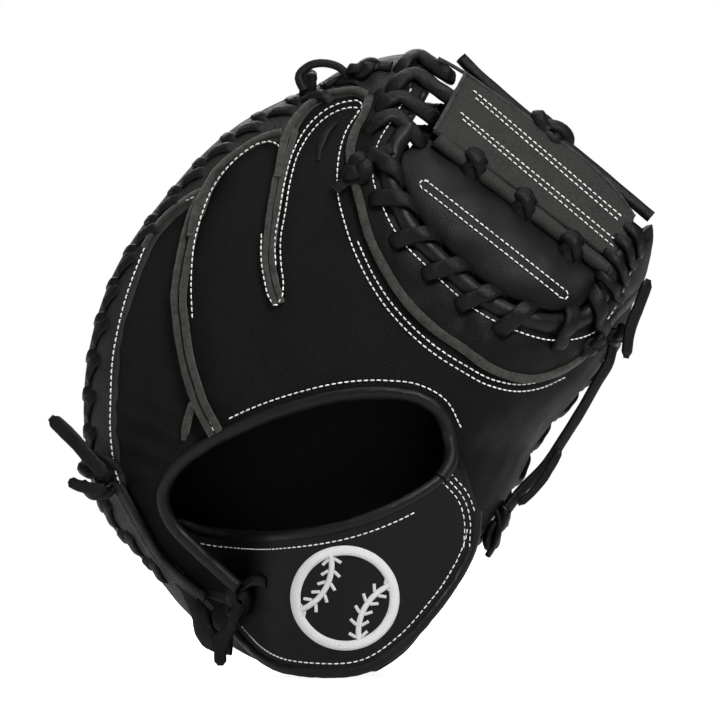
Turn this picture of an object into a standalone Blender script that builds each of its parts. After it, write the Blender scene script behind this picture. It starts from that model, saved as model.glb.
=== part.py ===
"""A catcher's mitt for the left hand, closed web, open back: leather, mesh fabric, felt and rawhide lace.

Frame: metres, +Z from the heel to the finger tips, +X towards the thumb, +Y out of the pocket.
The mitt stands on the flat end of its heel, on Z = 0. Sizes below are in millimetres.
The back is a dome drawn in polar form round a point in the hand opening; the palm is a bowl
drawn in polar form round the middle of the pocket. Both meet along the laced rim.
"""
import math

import bmesh
import bpy
import numpy as np
from mathutils import Vector

MM = 0.001

# Driving dimensions, in millimetres
LEATHER = 3.0            # back leather with its fabric
PALM_LEATHER = 3.5
PAD = 9.0
LINING = 1.3
GAP = 0.5                # clearance between layers that lie on each other
LACE_W = 5.6
LACE_T = 2.6
PIPING = 5.4             # diameter of the rolled binding round the hand opening
ROLL = 8.4               # diameter of the rolled binding round the web opening

HAND_CENTRE = (15.0, 100.0)      # x, z of the dome's pole
DOME_Y = -50.0
POCKET = (30.0, 160.0)           # x, z of the middle of the pocket
POCKET_Y = 2.0

# The mitt seen from behind: x, z, anticlockwise from the thumb side
OUTLINE = [
    (95, 92), (113, 122), (136, 150), (152, 178), (160, 218), (129, 244), (97, 270), (66, 296),
    (36, 297), (0, 283), (-39, 263.5), (-74, 229), (-98, 194), (-110, 159), (-113, 120),
    (-106, 82), (-81, 51), (-62.5, 27), (-44, 9.5), (0, -3), (22, -1), (40, 9.5), (55, 28.5), (67, 48.5),
    (79, 69),
]
# Round the rim: angle, depth of the rim, how far round the dome bends, half width and height of the roll
RIM = [
    (-100, 8, 85, 22, 30), (-75, 14, 88, 20, 30), (-50, 34, 96, 18, 26), (-30, 55, 103, 17, 24),
    (-10, 70, 106, 17, 22), (10, 74, 106, 17, 22), (25, 68, 104, 17, 22), (40, 45, 98, 18, 22),
    (60, 26, 86, 20, 22), (80, 22, 80, 21, 24), (110, 24, 78, 21, 25), (140, 28, 78, 21, 25),
    (170, 30, 78, 21, 25), (200, 26, 78, 21, 26), (230, 14, 80, 22, 28),
]
# Rolled edge of the hand opening, from its thumb end over the knuckles and down to the wrist lace
OPENING = [
    (61.9, 107), (61.4, 117.6), (55.7, 128.2), (45.6, 133.9), (31.2, 135.8), (12, 134.9), (-9.6, 130),
    (-33.6, 121.4), (-55.2, 110.4), (-69.6, 99.4), (-75.8, 86.4), (-73, 74.4), (-62.4, 62.4),
    (-50.4, 51.4), (-39.4, 41.8),
]
# Rolled edge of the web opening, from the index finger's tip round the crotch to the thumb's tip
CROTCH = [
    (57, 290), (49, 274), (41.5, 262), (34.5, 250), (32.6, 240), (36.5, 227), (43.2, 213.6), (56.6, 199.2),
    (67.7, 188.6), (80.6, 178.6), (95, 171.8), (111.4, 168.5), (125.8, 171.8), (134.5, 182.9), (140, 196),
    (149, 210),
]
# Channels between the finger stalls, from the rim down
CHANNELS = {
    "pinky_channel_strip": [(-58, 228), (-66, 205), (-68, 175), (-65, 150), (-57, 128)],
    "middle_channel_strip": [(-18, 258), (-21, 235), (-25, 205), (-26, 185), (-20, 172)],
}

# The web's plane: its depth at the crotch, and how it falls towards the palm
WEB_CROTCH = (100.0, 169.0)
WEB_Y, WEB_SLOPE_X, WEB_SLOPE_Z = -29.0, 0.345, 0.453
WEB_TOP = [(146, 221), (68, 292), (63, 292)]
WEB_FLAP = [(74, 283), (59, 257), (130, 199), (137, 203), (144, 220)]
WEB_PANEL = [(47, 258), (129, 192)]
WEB_LEATHER = 2.6
WEB_KNOTS = {"web_knot_fingers": (72.5, 246.2), "web_knot_middle": (93, 229), "web_knot_thumb": (118, 209.8)}
WEB_KNOT_SIZE, WEB_KNOT_AXIS = (11, 7.5, 4.4), (1, 0.35, -0.8)

# The strap: how far behind the hand it stands, against x
STRAP_ARCH = [
    (-66, 9), (-58, 8), (-50, 6), (-43, 2), (-36, -6), (-29, -21), (-20, -40), (-8, -53), (8, -60),
    (30, -60), (50, -54), (64, -46), (74, -40),
]
STRAP_TOP = [(-58, 71), (-38.4, 67.7), (-9.6, 69.6), (14.4, 74.4), (38.4, 84), (57.6, 96), (70, 104)]
STRAP_BOTTOM = [
    (-41, 19.5), (-34, 13.3), (-21.6, 5.6), (0.5, 2.0), (22, 4.0), (42.7, 17.2), (55.4, 32.4), (64.2, 52),
    (71.6, 69),
]
STRAP_LEATHER = 2.4

# Laces that lie on the back, seen from behind: x, z
SURFACE_LACES = {
    "heel_side_lace": [(-94, 88), (-87, 74), (-79, 61), (-64, 50), (-54, 40)],
    "index_top_lace": [(6, 274), (20, 282), (30, 286), (38, 287)],
}
# Knots: x, z; height over the back; length, width, height; direction of the length
KNOTS = {
    "web_lace_knot": ((24, 241), 4.2, (13, 9, 6), (0.6, 0, 0.8)),
    "pinky_knot": ((-97, 96), 6.0, (15, 11, 8), (1, 0, 0.3)),
    "thumb_knot": ((79, 76), 6.5, (15, 10, 8), (0.6, 0, 0.8)),
    "finger_top_knot": ((-5, 270), 5.0, (12, 9, 7), (0.3, 0, 0.9)),
}
# Laces off the surface: points x, y, z; the flat side's direction; width and thickness
LOOSE_LACES = {
    "pinky_tail_upper": (
        [(-113, 16, 99), (-118, 12, 107), (-124, 8, 115), (-130, 4, 123)], (0, -1, 0), 6.2, 2.4,
    ),
    "pinky_tail_lower": ([(-107, 12, 85), (-113, 9, 87), (-119, 5, 92)], (0, -1, 0), 5.2, 2.4),
    "heel_tail": ([(-50, -20, 20), (-49, -21, 14), (-46, -20, 6)], (0, -1, 0), 5.6, 2.6),
    "thumb_tail": ([(99, -8, 86), (107, -12, 96), (114, -16, 106)], (0, -1, 0), 4.6, 2.6),
    "thumb_loop": (
        [(143, 4, 151), (136, 2, 137), (126, 2, 122), (116, 1, 109), (104, 0, 96), (94, -4, 82)],
        (0.7, -0.3, -0.6), 4.4, 2.6,
    ),
    "thumb_tip_tail": ([(153, -4, 176), (151, -6, 168), (149, -6, 158)], (0.6, -0.8, 0), 4.4, 2.4),
    "thumb_tip_lace": ([(150, -4, 183), (155, -1, 194), (159, 4, 206)], (0.8, -0.6, 0), 4.8, 2.6),
    "finger_top_loop": (
        [(-12, 14, 291), (-9, 12, 296), (0, 11, 299), (9, 13, 298), (14, 15, 293)], (0, -1, 0), 3.6, 3.6,
    ),
}
SWINGING = ("pinky_tail_upper", "pinky_tail_lower", "heel_tail", "thumb_tail", "thumb_tip_tail")

WEB_LACE_REACH = 11.0    # how far the laces over the web opening's roll reach to either side of it

# The break: the line that the thumb side folds about, between two points
BREAK_LOW = np.array([46.0, -5.0, 0.0])
BREAK_HIGH = np.array([105.0, -5.0, 256.0])
CLOSE_DEG, OPEN_DEG = 25.0, 5.0
BREAK_SPARE_DEG = 3.0


def curve_table(angles, values):
    """A smooth periodic function of an angle in degrees, through the given values."""
    order = np.argsort(np.mod(angles, 360.0))
    a = np.mod(np.asarray(angles, float), 360.0)[order]
    v = np.asarray(values, float)[order]
    a = np.concatenate([a[-3:] - 360.0, a, a[:3] + 360.0])
    v = np.concatenate([v[-3:], v, v[:3]])
    slope = np.gradient(v, a)

    def value(angle):
        x = np.mod(angle, 360.0)
        i = np.clip(np.searchsorted(a, x, side="right") - 1, 0, len(a) - 2)
        step = a[i + 1] - a[i]
        u = (x - a[i]) / step
        return (
            v[i] * (2 * u**3 - 3 * u**2 + 1) + v[i + 1] * (3 * u**2 - 2 * u**3)
            + step * (slope[i] * (u**3 - 2 * u**2 + u) + slope[i + 1] * (u**3 - u**2))
        )

    return value


def polar_of(points, centre):
    d = np.asarray(points, float) - np.asarray(centre)
    return np.degrees(np.arctan2(d[:, 1], d[:, 0])), np.hypot(d[:, 0], d[:, 1])


outline_radius = curve_table(*polar_of(OUTLINE, HAND_CENTRE))
rim_depth, rim_wrap, roll_half, roll_height = (
    curve_table([row[0] for row in RIM], [row[k] for row in RIM]) for k in range(1, 5)
)


def back_point(theta, t):
    """The back of the mitt. theta in degrees round the hand opening, t from 0 at the pole to 1 at the rim."""
    theta, t = np.broadcast_arrays(np.asarray(theta, float), np.asarray(t, float))
    wrap = np.radians(rim_wrap(theta))
    bend = t * wrap
    r = outline_radius(theta) * np.sin(bend) / np.sin(np.minimum(wrap, math.pi / 2))
    y = DOME_Y + (rim_depth(theta) - DOME_Y) * (1 - np.cos(bend)) / (1 - np.cos(wrap))
    a = np.radians(theta)
    return np.stack([HAND_CENTRE[0] + r * np.cos(a), y, HAND_CENTRE[1] + r * np.sin(a)], -1)


RIM_ANGLES = np.arange(0.0, 360.0, 1.0)
RIM_POINTS = back_point(RIM_ANGLES, 1.0)
rim_bearing, rim_reach = polar_of(RIM_POINTS[:, [0, 2]], POCKET)
palm_reach = curve_table(rim_bearing, rim_reach)
palm_rim_y, palm_half, palm_height = (
    curve_table(rim_bearing, f) for f in (RIM_POINTS[:, 1], roll_half(RIM_ANGLES), roll_height(RIM_ANGLES))
)
ROLL_START = 0.6         # share of the palm's radial parameter that is pocket; the rest is the rolled rim
ROLL_SWEEP = math.radians(140)
BOWL_POWER = 3.4
BOWL_CURVE = 0.0028


def palm_point(bearing, s):
    """The palm. bearing in degrees round the pocket, s from 0 in the middle to 1 at the rim."""
    bearing, s = np.broadcast_arrays(np.asarray(bearing, float), np.asarray(s, float))
    reach, half, height = palm_reach(bearing), palm_half(bearing), palm_height(bearing)
    foot_y = palm_rim_y(bearing) + 2.0
    turn = ROLL_SWEEP * (1 - np.clip(s, ROLL_START, 1)) / (1 - ROLL_START)
    roll_r = reach - half + half * np.cos(turn)
    roll_y = foot_y + height * np.sin(turn)
    end_r = reach - half + half * math.cos(ROLL_SWEEP)
    rise = foot_y + height * math.sin(ROLL_SWEEP) - POCKET_Y
    u = np.clip(s / ROLL_START, 0, 1)
    bottom = BOWL_CURVE * end_r**2
    bowl_y = POCKET_Y + bottom * u**2 + (rise - bottom) * u**BOWL_POWER
    in_bowl = s < ROLL_START
    r, y = np.where(in_bowl, end_r * u, roll_r), np.where(in_bowl, bowl_y, roll_y)
    a = np.radians(bearing)
    return np.stack([POCKET[0] + r * np.cos(a), y, POCKET[1] + r * np.sin(a)], -1)


def raised(surface, a, b, height, sign):
    """Points at a height above a surface, on its outer side. sign is -1 for the back and 1 for the palm."""
    a, b = np.broadcast_arrays(np.asarray(a, float), np.asarray(b, float))
    b_in = np.maximum(b, 0.02)
    da = surface(a + 0.5, b_in) - surface(a - 0.5, b_in)
    db = surface(a, b_in + 0.004) - surface(a, b_in - 0.004)
    n = sign * np.cross(da, db)
    n /= np.linalg.norm(n, axis=-1, keepdims=True)
    return surface(a, b) + n * height, n


def back_at(x, z, height=0.0):
    """The point and outward normal of the back at a place seen from behind."""
    angle, r = polar_of(np.column_stack([x, z]), HAND_CENTRE)
    wrap = np.radians(rim_wrap(angle))
    share = np.clip(r / outline_radius(angle), 0, 0.995) * np.sin(np.minimum(wrap, math.pi / 2))
    return raised(back_point, angle, np.arcsin(share) / wrap, height, -1)


def palm_y(x, z):
    """Depth of the palm's surface at a place seen from behind."""
    bearing, r = polar_of(np.column_stack([x, z]), POCKET)
    reach, half = palm_reach(bearing), palm_half(bearing)
    end_r = reach - half * (1 - math.cos(ROLL_SWEEP))
    turn = np.arccos(np.clip((r - reach + half) / half, math.cos(ROLL_SWEEP), 1))
    in_roll = 1 - (1 - ROLL_START) * turn / ROLL_SWEEP
    return palm_point(bearing, np.where(r < end_r, ROLL_START * r / end_r, in_roll))[:, 1]


def web_y(x, z):
    """Depth of the web's plane."""
    return WEB_Y + WEB_SLOPE_X * (x - WEB_CROTCH[0]) + WEB_SLOPE_Z * (z - WEB_CROTCH[1])


def smooth(points, count):
    """count points spaced evenly along a smooth curve through the given ones."""
    p = np.asarray(points, float)
    knots = np.concatenate([[0], np.cumsum(np.linalg.norm(np.diff(p, axis=0), axis=1))])
    slope = np.gradient(p, knots, axis=0)
    fine = np.linspace(0, knots[-1], 40 * len(p))
    i = np.clip(np.searchsorted(knots, fine, side="right") - 1, 0, len(p) - 2)
    step = (knots[i + 1] - knots[i])[:, None]
    u = (fine - knots[i])[:, None] / step
    q = (
        p[i] * (2 * u**3 - 3 * u**2 + 1) + p[i + 1] * (3 * u**2 - 2 * u**3)
        + step * (slope[i] * (u**3 - 2 * u**2 + u) + slope[i + 1] * (u**3 - u**2))
    )
    along = np.concatenate([[0], np.cumsum(np.linalg.norm(np.diff(q, axis=0), axis=1))])
    at = np.linspace(0, along[-1], count)
    return np.stack([np.interp(at, along, q[:, k]) for k in range(p.shape[1])], -1)


def beside(points, distance):
    """A plane curve moved to its left by a distance."""
    d = np.gradient(points, axis=0)
    d /= np.linalg.norm(d, axis=1, keepdims=True)
    return points + distance * np.column_stack([-d[:, 1], d[:, 0]])


# The felt roll inside the rim: its rise, width and depth as shares of the padded rim's
RIM_PAD_RISE, RIM_PAD_WIDTH, RIM_PAD_DEPTH = 0.42, 1.1, 0.55
STALL_WALL = 2.4
STRAP_LINING = 1.2
EMBLEM, EMBLEM_R = (14.0, 37.5), 20.0
EMBLEM_HEIGHTS, EMBLEM_CROWN = (3.0, 4.2), 0.2      # over the strap's leather
WEB_NORMAL = np.array([-WEB_SLOPE_X, 1.0, -WEB_SLOPE_Z])
WEB_NORMAL /= np.linalg.norm(WEB_NORMAL)

# Grid lines of the two polar surfaces
COLUMNS = 40
BACK_SHARES = [0, 0.12, 0.24, 0.36, 0.48, 0.6, 0.72, 0.85, 0.97]
PALM_SHARES = [0, 0.12, 0.24, 0.36, 0.47, 0.56, 0.61, 0.68, 0.76, 0.84, 0.92, 0.985]

HEEL_REST = (10.0, 19.0, 0.0)    # middle of the heel's flat, the part's origin

# What turns with the thumb's side of the break
THUMB_PIECES = (
    "palm_shell_thumb_side", "thumb_back_shell", "thumb_pad", "thumb_stall_lining", "thumb_rim_pad",
    "web_opening_roll_thumb_side", "thumb_stall_wall", "web_front_panel_thumb_half", "web_back_panel_thumb_half",
    "web_flap_thumb_half", "web_top_lace_thumb_half", "web_knot_thumb", "perimeter_lace_thumb",
    "web_lace_thumb_side", "thumb_knot", "thumb_tail", "thumb_loop", "thumb_tip_tail", "thumb_tip_lace",
)
STRAP_PIECES = ("wrist_strap", "strap_lining", "strap_emblem")
STRAP_HINGE = (66.0, -42.0, 60.0)

# Materials: name, colour, roughness
MATERIALS = {
    "black_leather": ((0.022, 0.022, 0.023), 0.48),
    "mesh_fabric": ((0.012, 0.012, 0.013), 0.8),
    "grey_suede": ((0.07, 0.07, 0.065), 0.9),
    "rawhide_lace": ((0.016, 0.016, 0.017), 0.6),
    "felt_padding": ((0.55, 0.52, 0.46), 0.95),
    "lining_fabric": ((0.02, 0.02, 0.021), 0.9),
    "white_thread": ((0.82, 0.81, 0.83), 0.6),
}


def material(name):
    found = bpy.data.materials.get(name)
    if found:
        return found
    made = bpy.data.materials.new(name)
    made.use_nodes = True
    shader = made.node_tree.nodes["Principled BSDF"]
    colour, roughness = MATERIALS[name]
    shader.inputs["Base Color"].default_value = (*colour, 1.0)
    shader.inputs["Roughness"].default_value = roughness
    shader.inputs["Metallic"].default_value = 0.0
    return made


def add_object(name, bm, material_name):
    bmesh.ops.remove_doubles(bm, verts=bm.verts, dist=1e-7)
    bmesh.ops.recalc_face_normals(bm, faces=bm.faces)
    mesh = bpy.data.meshes.new(name)
    bm.to_mesh(mesh)
    bm.free()
    obj = bpy.data.objects.new(name, mesh)
    bpy.context.scene.collection.objects.link(obj)
    if material_name:
        mesh.materials.append(material(material_name))
        mesh.shade_smooth()
        mesh.set_sharp_from_angle(angle=math.radians(40))
    return obj


def add_grid(bm, verts, closed=False):
    """Quads over a list of rows of vertices."""
    rows = len(verts)
    for i in range(rows if closed else rows - 1):
        for a, b, c, d in zip(verts[i], verts[i][1:], verts[(i + 1) % rows][1:], verts[(i + 1) % rows]):
            corners = [a]
            corners += [v for v in (b, c, d) if v not in corners]
            if len(corners) > 2:
                bm.faces.new(corners)


def layer(name, outer, inner, material_name, closed=False):
    """A closed solid between two grids of points; closed joins the last row to the first."""
    bm = bmesh.new()
    pole = closed and np.allclose(outer[:, 0], outer[0, 0])
    sheets = []
    for grid in (outer, inner):
        middle = bm.verts.new(grid[0, 0] * MM) if pole else None
        sheets.append([
            [middle if pole and j == 0 else bm.verts.new(p * MM) for j, p in enumerate(row)] for row in grid
        ])
        add_grid(bm, sheets[-1], closed)
    edges = [[[a[-1], b[-1]] for a, b in zip(*sheets)]]
    if not closed:
        edges.append([[a[0], b[0]] for a, b in zip(*sheets)])
        edges += [[list(pair) for pair in zip(sheets[0][k], sheets[1][k])] for k in (0, -1)]
    elif not pole:
        edges.append([[a[0], b[0]] for a, b in zip(*sheets)])
    for edge in edges:
        add_grid(bm, edge, closed)
    return add_object(name, bm, material_name)


def sweep(name, path, normals, width, height, material_name, sides=8):
    """A strap or cord of oval section along a path, flat side to the normals, with closed ends."""
    path, normals = np.asarray(path, float), np.asarray(normals, float)
    along = np.gradient(path, axis=0)
    along /= np.linalg.norm(along, axis=1, keepdims=True)
    across = np.cross(along, normals)
    across /= np.linalg.norm(across, axis=1, keepdims=True)
    up = np.cross(across, along)
    bm = bmesh.new()
    turn = 2 * math.pi * (np.arange(sides) + 0.5) / sides
    rings = []
    for p, a, u in zip(path, across, up):
        ring = p + np.outer(np.cos(turn) * width / 2, a) + np.outer(np.sin(turn) * height / 2, u)
        rings.append([bm.verts.new(q * MM) for q in ring])
    add_grid(bm, [ring + ring[:1] for ring in rings])
    bm.faces.new(rings[0])
    bm.faces.new(rings[-1])
    return add_object(name, bm, material_name)


def knot(name, centre, axis, size, material_name="rawhide_lace"):
    """A tied knot as a rounded lump: size is its length, width and height, its length along axis."""
    bm = bmesh.new()
    bmesh.ops.create_icosphere(bm, subdivisions=2, radius=0.5)
    turn = Vector(axis).to_track_quat("X", "Z").to_matrix()
    for v in bm.verts:
        v.co = (turn @ Vector([v.co[k] * size[k] for k in range(3)]) + Vector(centre)) * MM
    return add_object(name, bm, material_name)


def prism(name, outline, low, high):
    """A cutter: a shape seen from behind, cut through along Y."""
    bm = bmesh.new()
    ends = [[bm.verts.new(Vector((x, y, z)) * MM) for x, z in outline] for y in (low, high)]
    for end in ends:
        bm.faces.new(end)
    add_grid(bm, [end + end[:1] for end in ends])
    return as_cutter(add_object(name, bm, None))


def set_origin(obj, point):
    """Put an object's origin at a point without moving its shape."""
    shift = Vector(point) * MM
    for v in obj.data.vertices:
        v.co -= shift
    obj.location = shift


def as_cutter(obj):
    obj.hide_render = True
    obj.display_type = "WIRE"
    return obj


def cut(obj, *cutters):
    for cutter in cutters:
        modifier = obj.modifiers.new(cutter.name, "BOOLEAN")
        modifier.operation = "DIFFERENCE"
        modifier.solver = "EXACT"
        modifier.object = cutter


def break_frame():
    """Unit vectors of the break: along it, towards the thumb, towards the palm."""
    along = BREAK_HIGH - BREAK_LOW
    along = along / np.linalg.norm(along)
    palm = np.array([0.0, 1.0, 0.0]) - along[1] * along
    palm /= np.linalg.norm(palm)
    return along, np.cross(palm, along), palm


def break_cutter(name, side, front_deg, back_deg):
    """What one side of the break leaves out: all beyond a plane, and a wedge for the fold on either face.
    side is 1 to cut the thumb's side away, -1 for the fingers'."""
    along, thumb, palm = break_frame()
    far = 260.0
    reach = [far * math.tan(math.radians(angle)) for angle in (front_deg, back_deg)]
    start = -GAP
    corners = [(start, 0), (start - reach[0], far), (far * 2, far), (far * 2, -far), (start - reach[1], -far)]
    bm = bmesh.new()
    ends = []
    for end in (-200.0, 400.0):
        middle = BREAK_LOW + along * end
        ends.append([bm.verts.new((middle + side * p * thumb + q * palm) * MM) for p, q in corners])
        bm.faces.new(ends[-1])
    add_grid(bm, [end + end[:1] for end in ends])
    return as_cutter(add_object(name, bm, None))


def fan(surface, sign, shares, low, high):
    """Outer and inner grids over a whole polar surface, between two heights above it."""
    a = np.linspace(0, 360, COLUMNS, endpoint=False)[:, None]
    b = np.asarray(shares)[None, :]
    grids = raised(surface, a, b, high, sign)[0], raised(surface, a, b, low, sign)[0]
    for grid in grids:
        grid[:, 0] = grid[:, 0].mean(axis=0)
    return grids


def make_cutters():
    window = smooth(OPENING, 26)
    below = [(-42, 33), (-46, 20), (-48, -30), (66, -30), (66, 40), (68, 70), (66, 98)]
    window = np.vstack([beside(window, -(PIPING / 2 + GAP)), below])
    crotch = smooth(CROTCH, 28)
    beyond = [(190, 240), (190, 340), (60, 340)]
    notch = np.vstack([beside(crotch, -(ROLL / 2 + 3 * GAP)), beyond])
    beside_window = [(30, -60), (30, 100), (58, 145), (90, 175), (90, 340), (260, 340), (260, -60)]
    floor = [(-200, 0), (200, 0), (200, -40), (-200, -40)]
    return {
        "window": prism("cut_window", window, -150, 150),
        "notch": prism("cut_notch", notch, -150, 150),
        "beside_window": prism("cut_beside_window", beside_window, -150, 150),
        "floor": prism("cut_floor", floor, -150, 150),
        "thumb_side": break_cutter("cut_thumb_side", 1, CLOSE_DEG + BREAK_SPARE_DEG, OPEN_DEG + BREAK_SPARE_DEG),
        "finger_side": break_cutter("cut_finger_side", -1, 0, 0),
    }


def split_layer(finger_name, thumb_name, grids, material_name, shared, cutters):
    """The finger half and the thumb half of one layer, with the wedge of the break between them."""
    for name, side in ((finger_name, "thumb_side"), (thumb_name, "finger_side")):
        obj = layer(name, *grids, material_name, closed=True)
        cut(obj, *(cutters[c] for c in shared), cutters[side])


def make_shells(cutters):
    back = fan(back_point, -1, BACK_SHARES, -LEATHER, 0.0)
    split_layer("finger_back_shell", "thumb_back_shell", back, "mesh_fabric", ("window", "notch"), cutters)
    palm = fan(palm_point, 1, PALM_SHARES, -PALM_LEATHER, 0.0)
    split_layer(
        "palm_shell_finger_side", "palm_shell_thumb_side", palm, "black_leather", ("notch", "floor"), cutters,
    )
    low = PALM_LEATHER + GAP
    pad = fan(palm_point, 1, PALM_SHARES[:5], -low - PAD, -low)
    split_layer("palm_pad", "thumb_pad", pad, "felt_padding", ("notch",), cutters)
    low += PAD + 2 * GAP
    lining = fan(palm_point, 1, PALM_SHARES[:4], -low - LINING, -low)
    obj = layer("palm_lining", *lining, "lining_fabric", closed=True)
    cut(obj, cutters["notch"], cutters["thumb_side"])
    low = LEATHER + GAP
    inner = fan(back_point, -1, BACK_SHARES[:6], -low - LINING, -low)
    for name, sides in (
        ("finger_stall_lining", ("beside_window", "thumb_side")), ("thumb_stall_lining", ("finger_side",)),
    ):
        obj = layer(name, *inner, "lining_fabric", closed=True)
        cut(obj, cutters["window"], cutters["notch"], *(cutters[side] for side in sides))


def rim_pad(name, first, last, count, fullness=1.0):
    """The felt roll inside the padded rim, between two angles round the hand opening."""
    rim = back_point(np.linspace(first, last, count), 1.0)
    bearing = polar_of(rim[:, [0, 2]], POCKET)[0]
    half, height = palm_half(bearing), palm_height(bearing)
    r = palm_reach(bearing) - half
    y = palm_rim_y(bearing) + 2.0 + RIM_PAD_RISE * height
    a = np.radians(bearing)
    middle = np.stack([POCKET[0] + r * np.cos(a), y, POCKET[1] + r * np.sin(a)], -1)
    width = fullness * RIM_PAD_WIDTH * float(half.min())
    depth = fullness * RIM_PAD_DEPTH * float(height.min())
    sweep(name, middle, np.tile([0.0, 1.0, 0.0], (count, 1)), width, depth, "felt_padding", sides=8)


def make_pads():
    rim_pad("finger_rim_pad", 96, 224, 16)
    rim_pad("heel_pad", 232, 266, 7)
    rim_pad("thumb_rim_pad", -22, 20, 9, 0.44)


def at_depth(points, depth):
    """Plan points, x and z, with a depth for each."""
    return np.stack([points[:, 0], depth, points[:, 1]], -1)


def sides_of_break(path, spare=5.0):
    """Which points of a path lie on the fingers' side of the break, and which on the thumb's."""
    _, thumb, palm = break_frame()
    p, q = (path - BREAK_LOW) @ thumb, (path - BREAK_LOW) @ palm
    wedge = np.maximum(q, 0) * math.tan(math.radians(CLOSE_DEG + BREAK_SPARE_DEG))
    wedge += np.maximum(-q, 0) * math.tan(math.radians(OPEN_DEG + BREAK_SPARE_DEG))
    return p < -wedge - spare, p > spare


def roll_line(count, first=0, last=None):
    """Centre line of the rolled binding round the web opening, with the back's normals."""
    crotch = smooth(CROTCH[first:last], count)
    return back_at(crotch[:, 0], crotch[:, 1], -LEATHER)


def make_bindings():
    opening = smooth(OPENING, 34)
    path, normals = back_at(opening[:, 0], opening[:, 1], -LEATHER / 2)
    sweep("hand_opening_piping", path, normals, PIPING, PIPING, "black_leather")
    path, normals = roll_line(34)
    halves = ("web_opening_roll_finger_side", "web_opening_roll_thumb_side")
    for name, keep in zip(halves, sides_of_break(path)):
        sweep(name, path[keep], normals[keep], ROLL, ROLL, "black_leather")
    for name, points in CHANNELS.items():
        line = smooth(points, 10)
        path, normals = back_at(line[:, 0], line[:, 1], GAP + 0.8)
        sweep(name, path, normals, 5.0, 1.6, "grey_suede", sides=6)
    rim = beside(smooth(CROTCH[2:10], 16), -17.0)
    path, normals = back_at(rim[:, 0], rim[:, 1], GAP + 0.8)
    sweep("web_opening_strip", path, normals, 5.0, 1.6, "grey_suede", sides=6)


def make_stall_walls():
    """The leather between the back's edge and the palm's edge where the fingers part round the web."""
    roll, normals = roll_line(34)
    plan = roll[:, [0, 2]]
    rims = beside(plan, -(ROLL / 2 + 3 * GAP))
    low, high = roll[:, 1] + ROLL / 2 + 2.5, palm_y(rims[:, 0], rims[:, 1])
    upright = normals[:, 1] < -0.63
    for name, keep in zip(("finger_stall_wall", "thumb_stall_wall"), sides_of_break(roll, 10.0)):
        keep = keep & upright
        faces = []
        for offset in (-1.0, -1.0 - STALL_WALL):
            line = beside(plan, offset)
            rows = [at_depth(line, low * (1 - v) + high * v)[keep] for v in (0.0, 0.5, 1.0)]
            faces.append(np.stack(rows, axis=1))
        layer(name, *faces, "black_leather")


def plate(name, outline, low, high, material_name):
    """A flat piece of the web: a shape seen from behind, between two heights over the web's plane."""
    bm = bmesh.new()
    outline = np.asarray(outline, float)
    ends = [
        [bm.verts.new(p * MM) for p in at_depth(outline, web_y(outline[:, 0], outline[:, 1]) + h)]
        for h in (low, high)
    ]
    for end in ends:
        bm.faces.new(end)
    add_grid(bm, [end + end[:1] for end in ends])
    return add_object(name, bm, material_name)


def make_web(cutters):
    edge = beside(roll_line(30)[0][:, [0, 2]], ROLL / 2 + 2 * GAP)
    panel_edge = beside(roll_line(20, 3, 14)[0][:, [0, 2]], ROLL / 2 + GAP + 4.5)
    pieces = (
        ("web_front_panel", np.vstack([edge, WEB_TOP]), 0.0, "black_leather"),
        ("web_back_panel", np.vstack([panel_edge, WEB_PANEL[::-1]]), -WEB_LEATHER - GAP, "mesh_fabric"),
        ("web_flap", WEB_FLAP, -2 * (WEB_LEATHER + GAP), "black_leather"),
    )
    for name, outline, low, material_name in pieces:
        for half, side in (("finger_half", "thumb_side"), ("thumb_half", "finger_side")):
            cut(plate(f"{name}_{half}", outline, low, low + WEB_LEATHER, material_name), cutters[side])
    top = np.linspace(WEB_TOP[1], WEB_TOP[0], 24)
    path = at_depth(top, web_y(top[:, 0], top[:, 1]) + WEB_LEATHER + LACE_T / 2 + GAP)
    for half, keep in zip(("finger_half", "thumb_half"), sides_of_break(path, 2.0)):
        normals = np.tile(WEB_NORMAL, (keep.sum(), 1))
        sweep(f"web_top_lace_{half}", path[keep], normals, LACE_W, LACE_T, "rawhide_lace", 6)
    over = -2 * (WEB_LEATHER + GAP) - WEB_KNOT_SIZE[2] / 2 - 5 * GAP
    for name, (x, z) in WEB_KNOTS.items():
        knot(name, (x, web_y(x, z) + over, z), WEB_KNOT_AXIS, WEB_KNOT_SIZE)


def serpentine(crossings, sides, point_at):
    """A lace that crosses an edge again and again: point_at(crossing position, side from -1 to 1)."""
    path, normals = [], []
    for k, place in enumerate(crossings):
        order = sides if k % 2 == 0 else sides[::-1]
        for side in order:
            p, n = point_at(place, side)
            path.append(p)
            normals.append(n)
    return np.array(path), np.array(normals)


def rim_edge(theta, side):
    """A point lifted off the rim: side -1 is on the back, 0 on the edge, 1 on the palm."""
    height = LACE_T / 2 + 2 * GAP
    if side <= 0:
        return raised(back_point, theta, 1 + 0.075 * side, height, -1)
    rim = back_point(theta, 1.0)
    bearing = polar_of(rim[None, [0, 2]], POCKET)[0][0]
    return raised(palm_point, bearing, 1 - 0.12 * side, height, 1)


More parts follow.
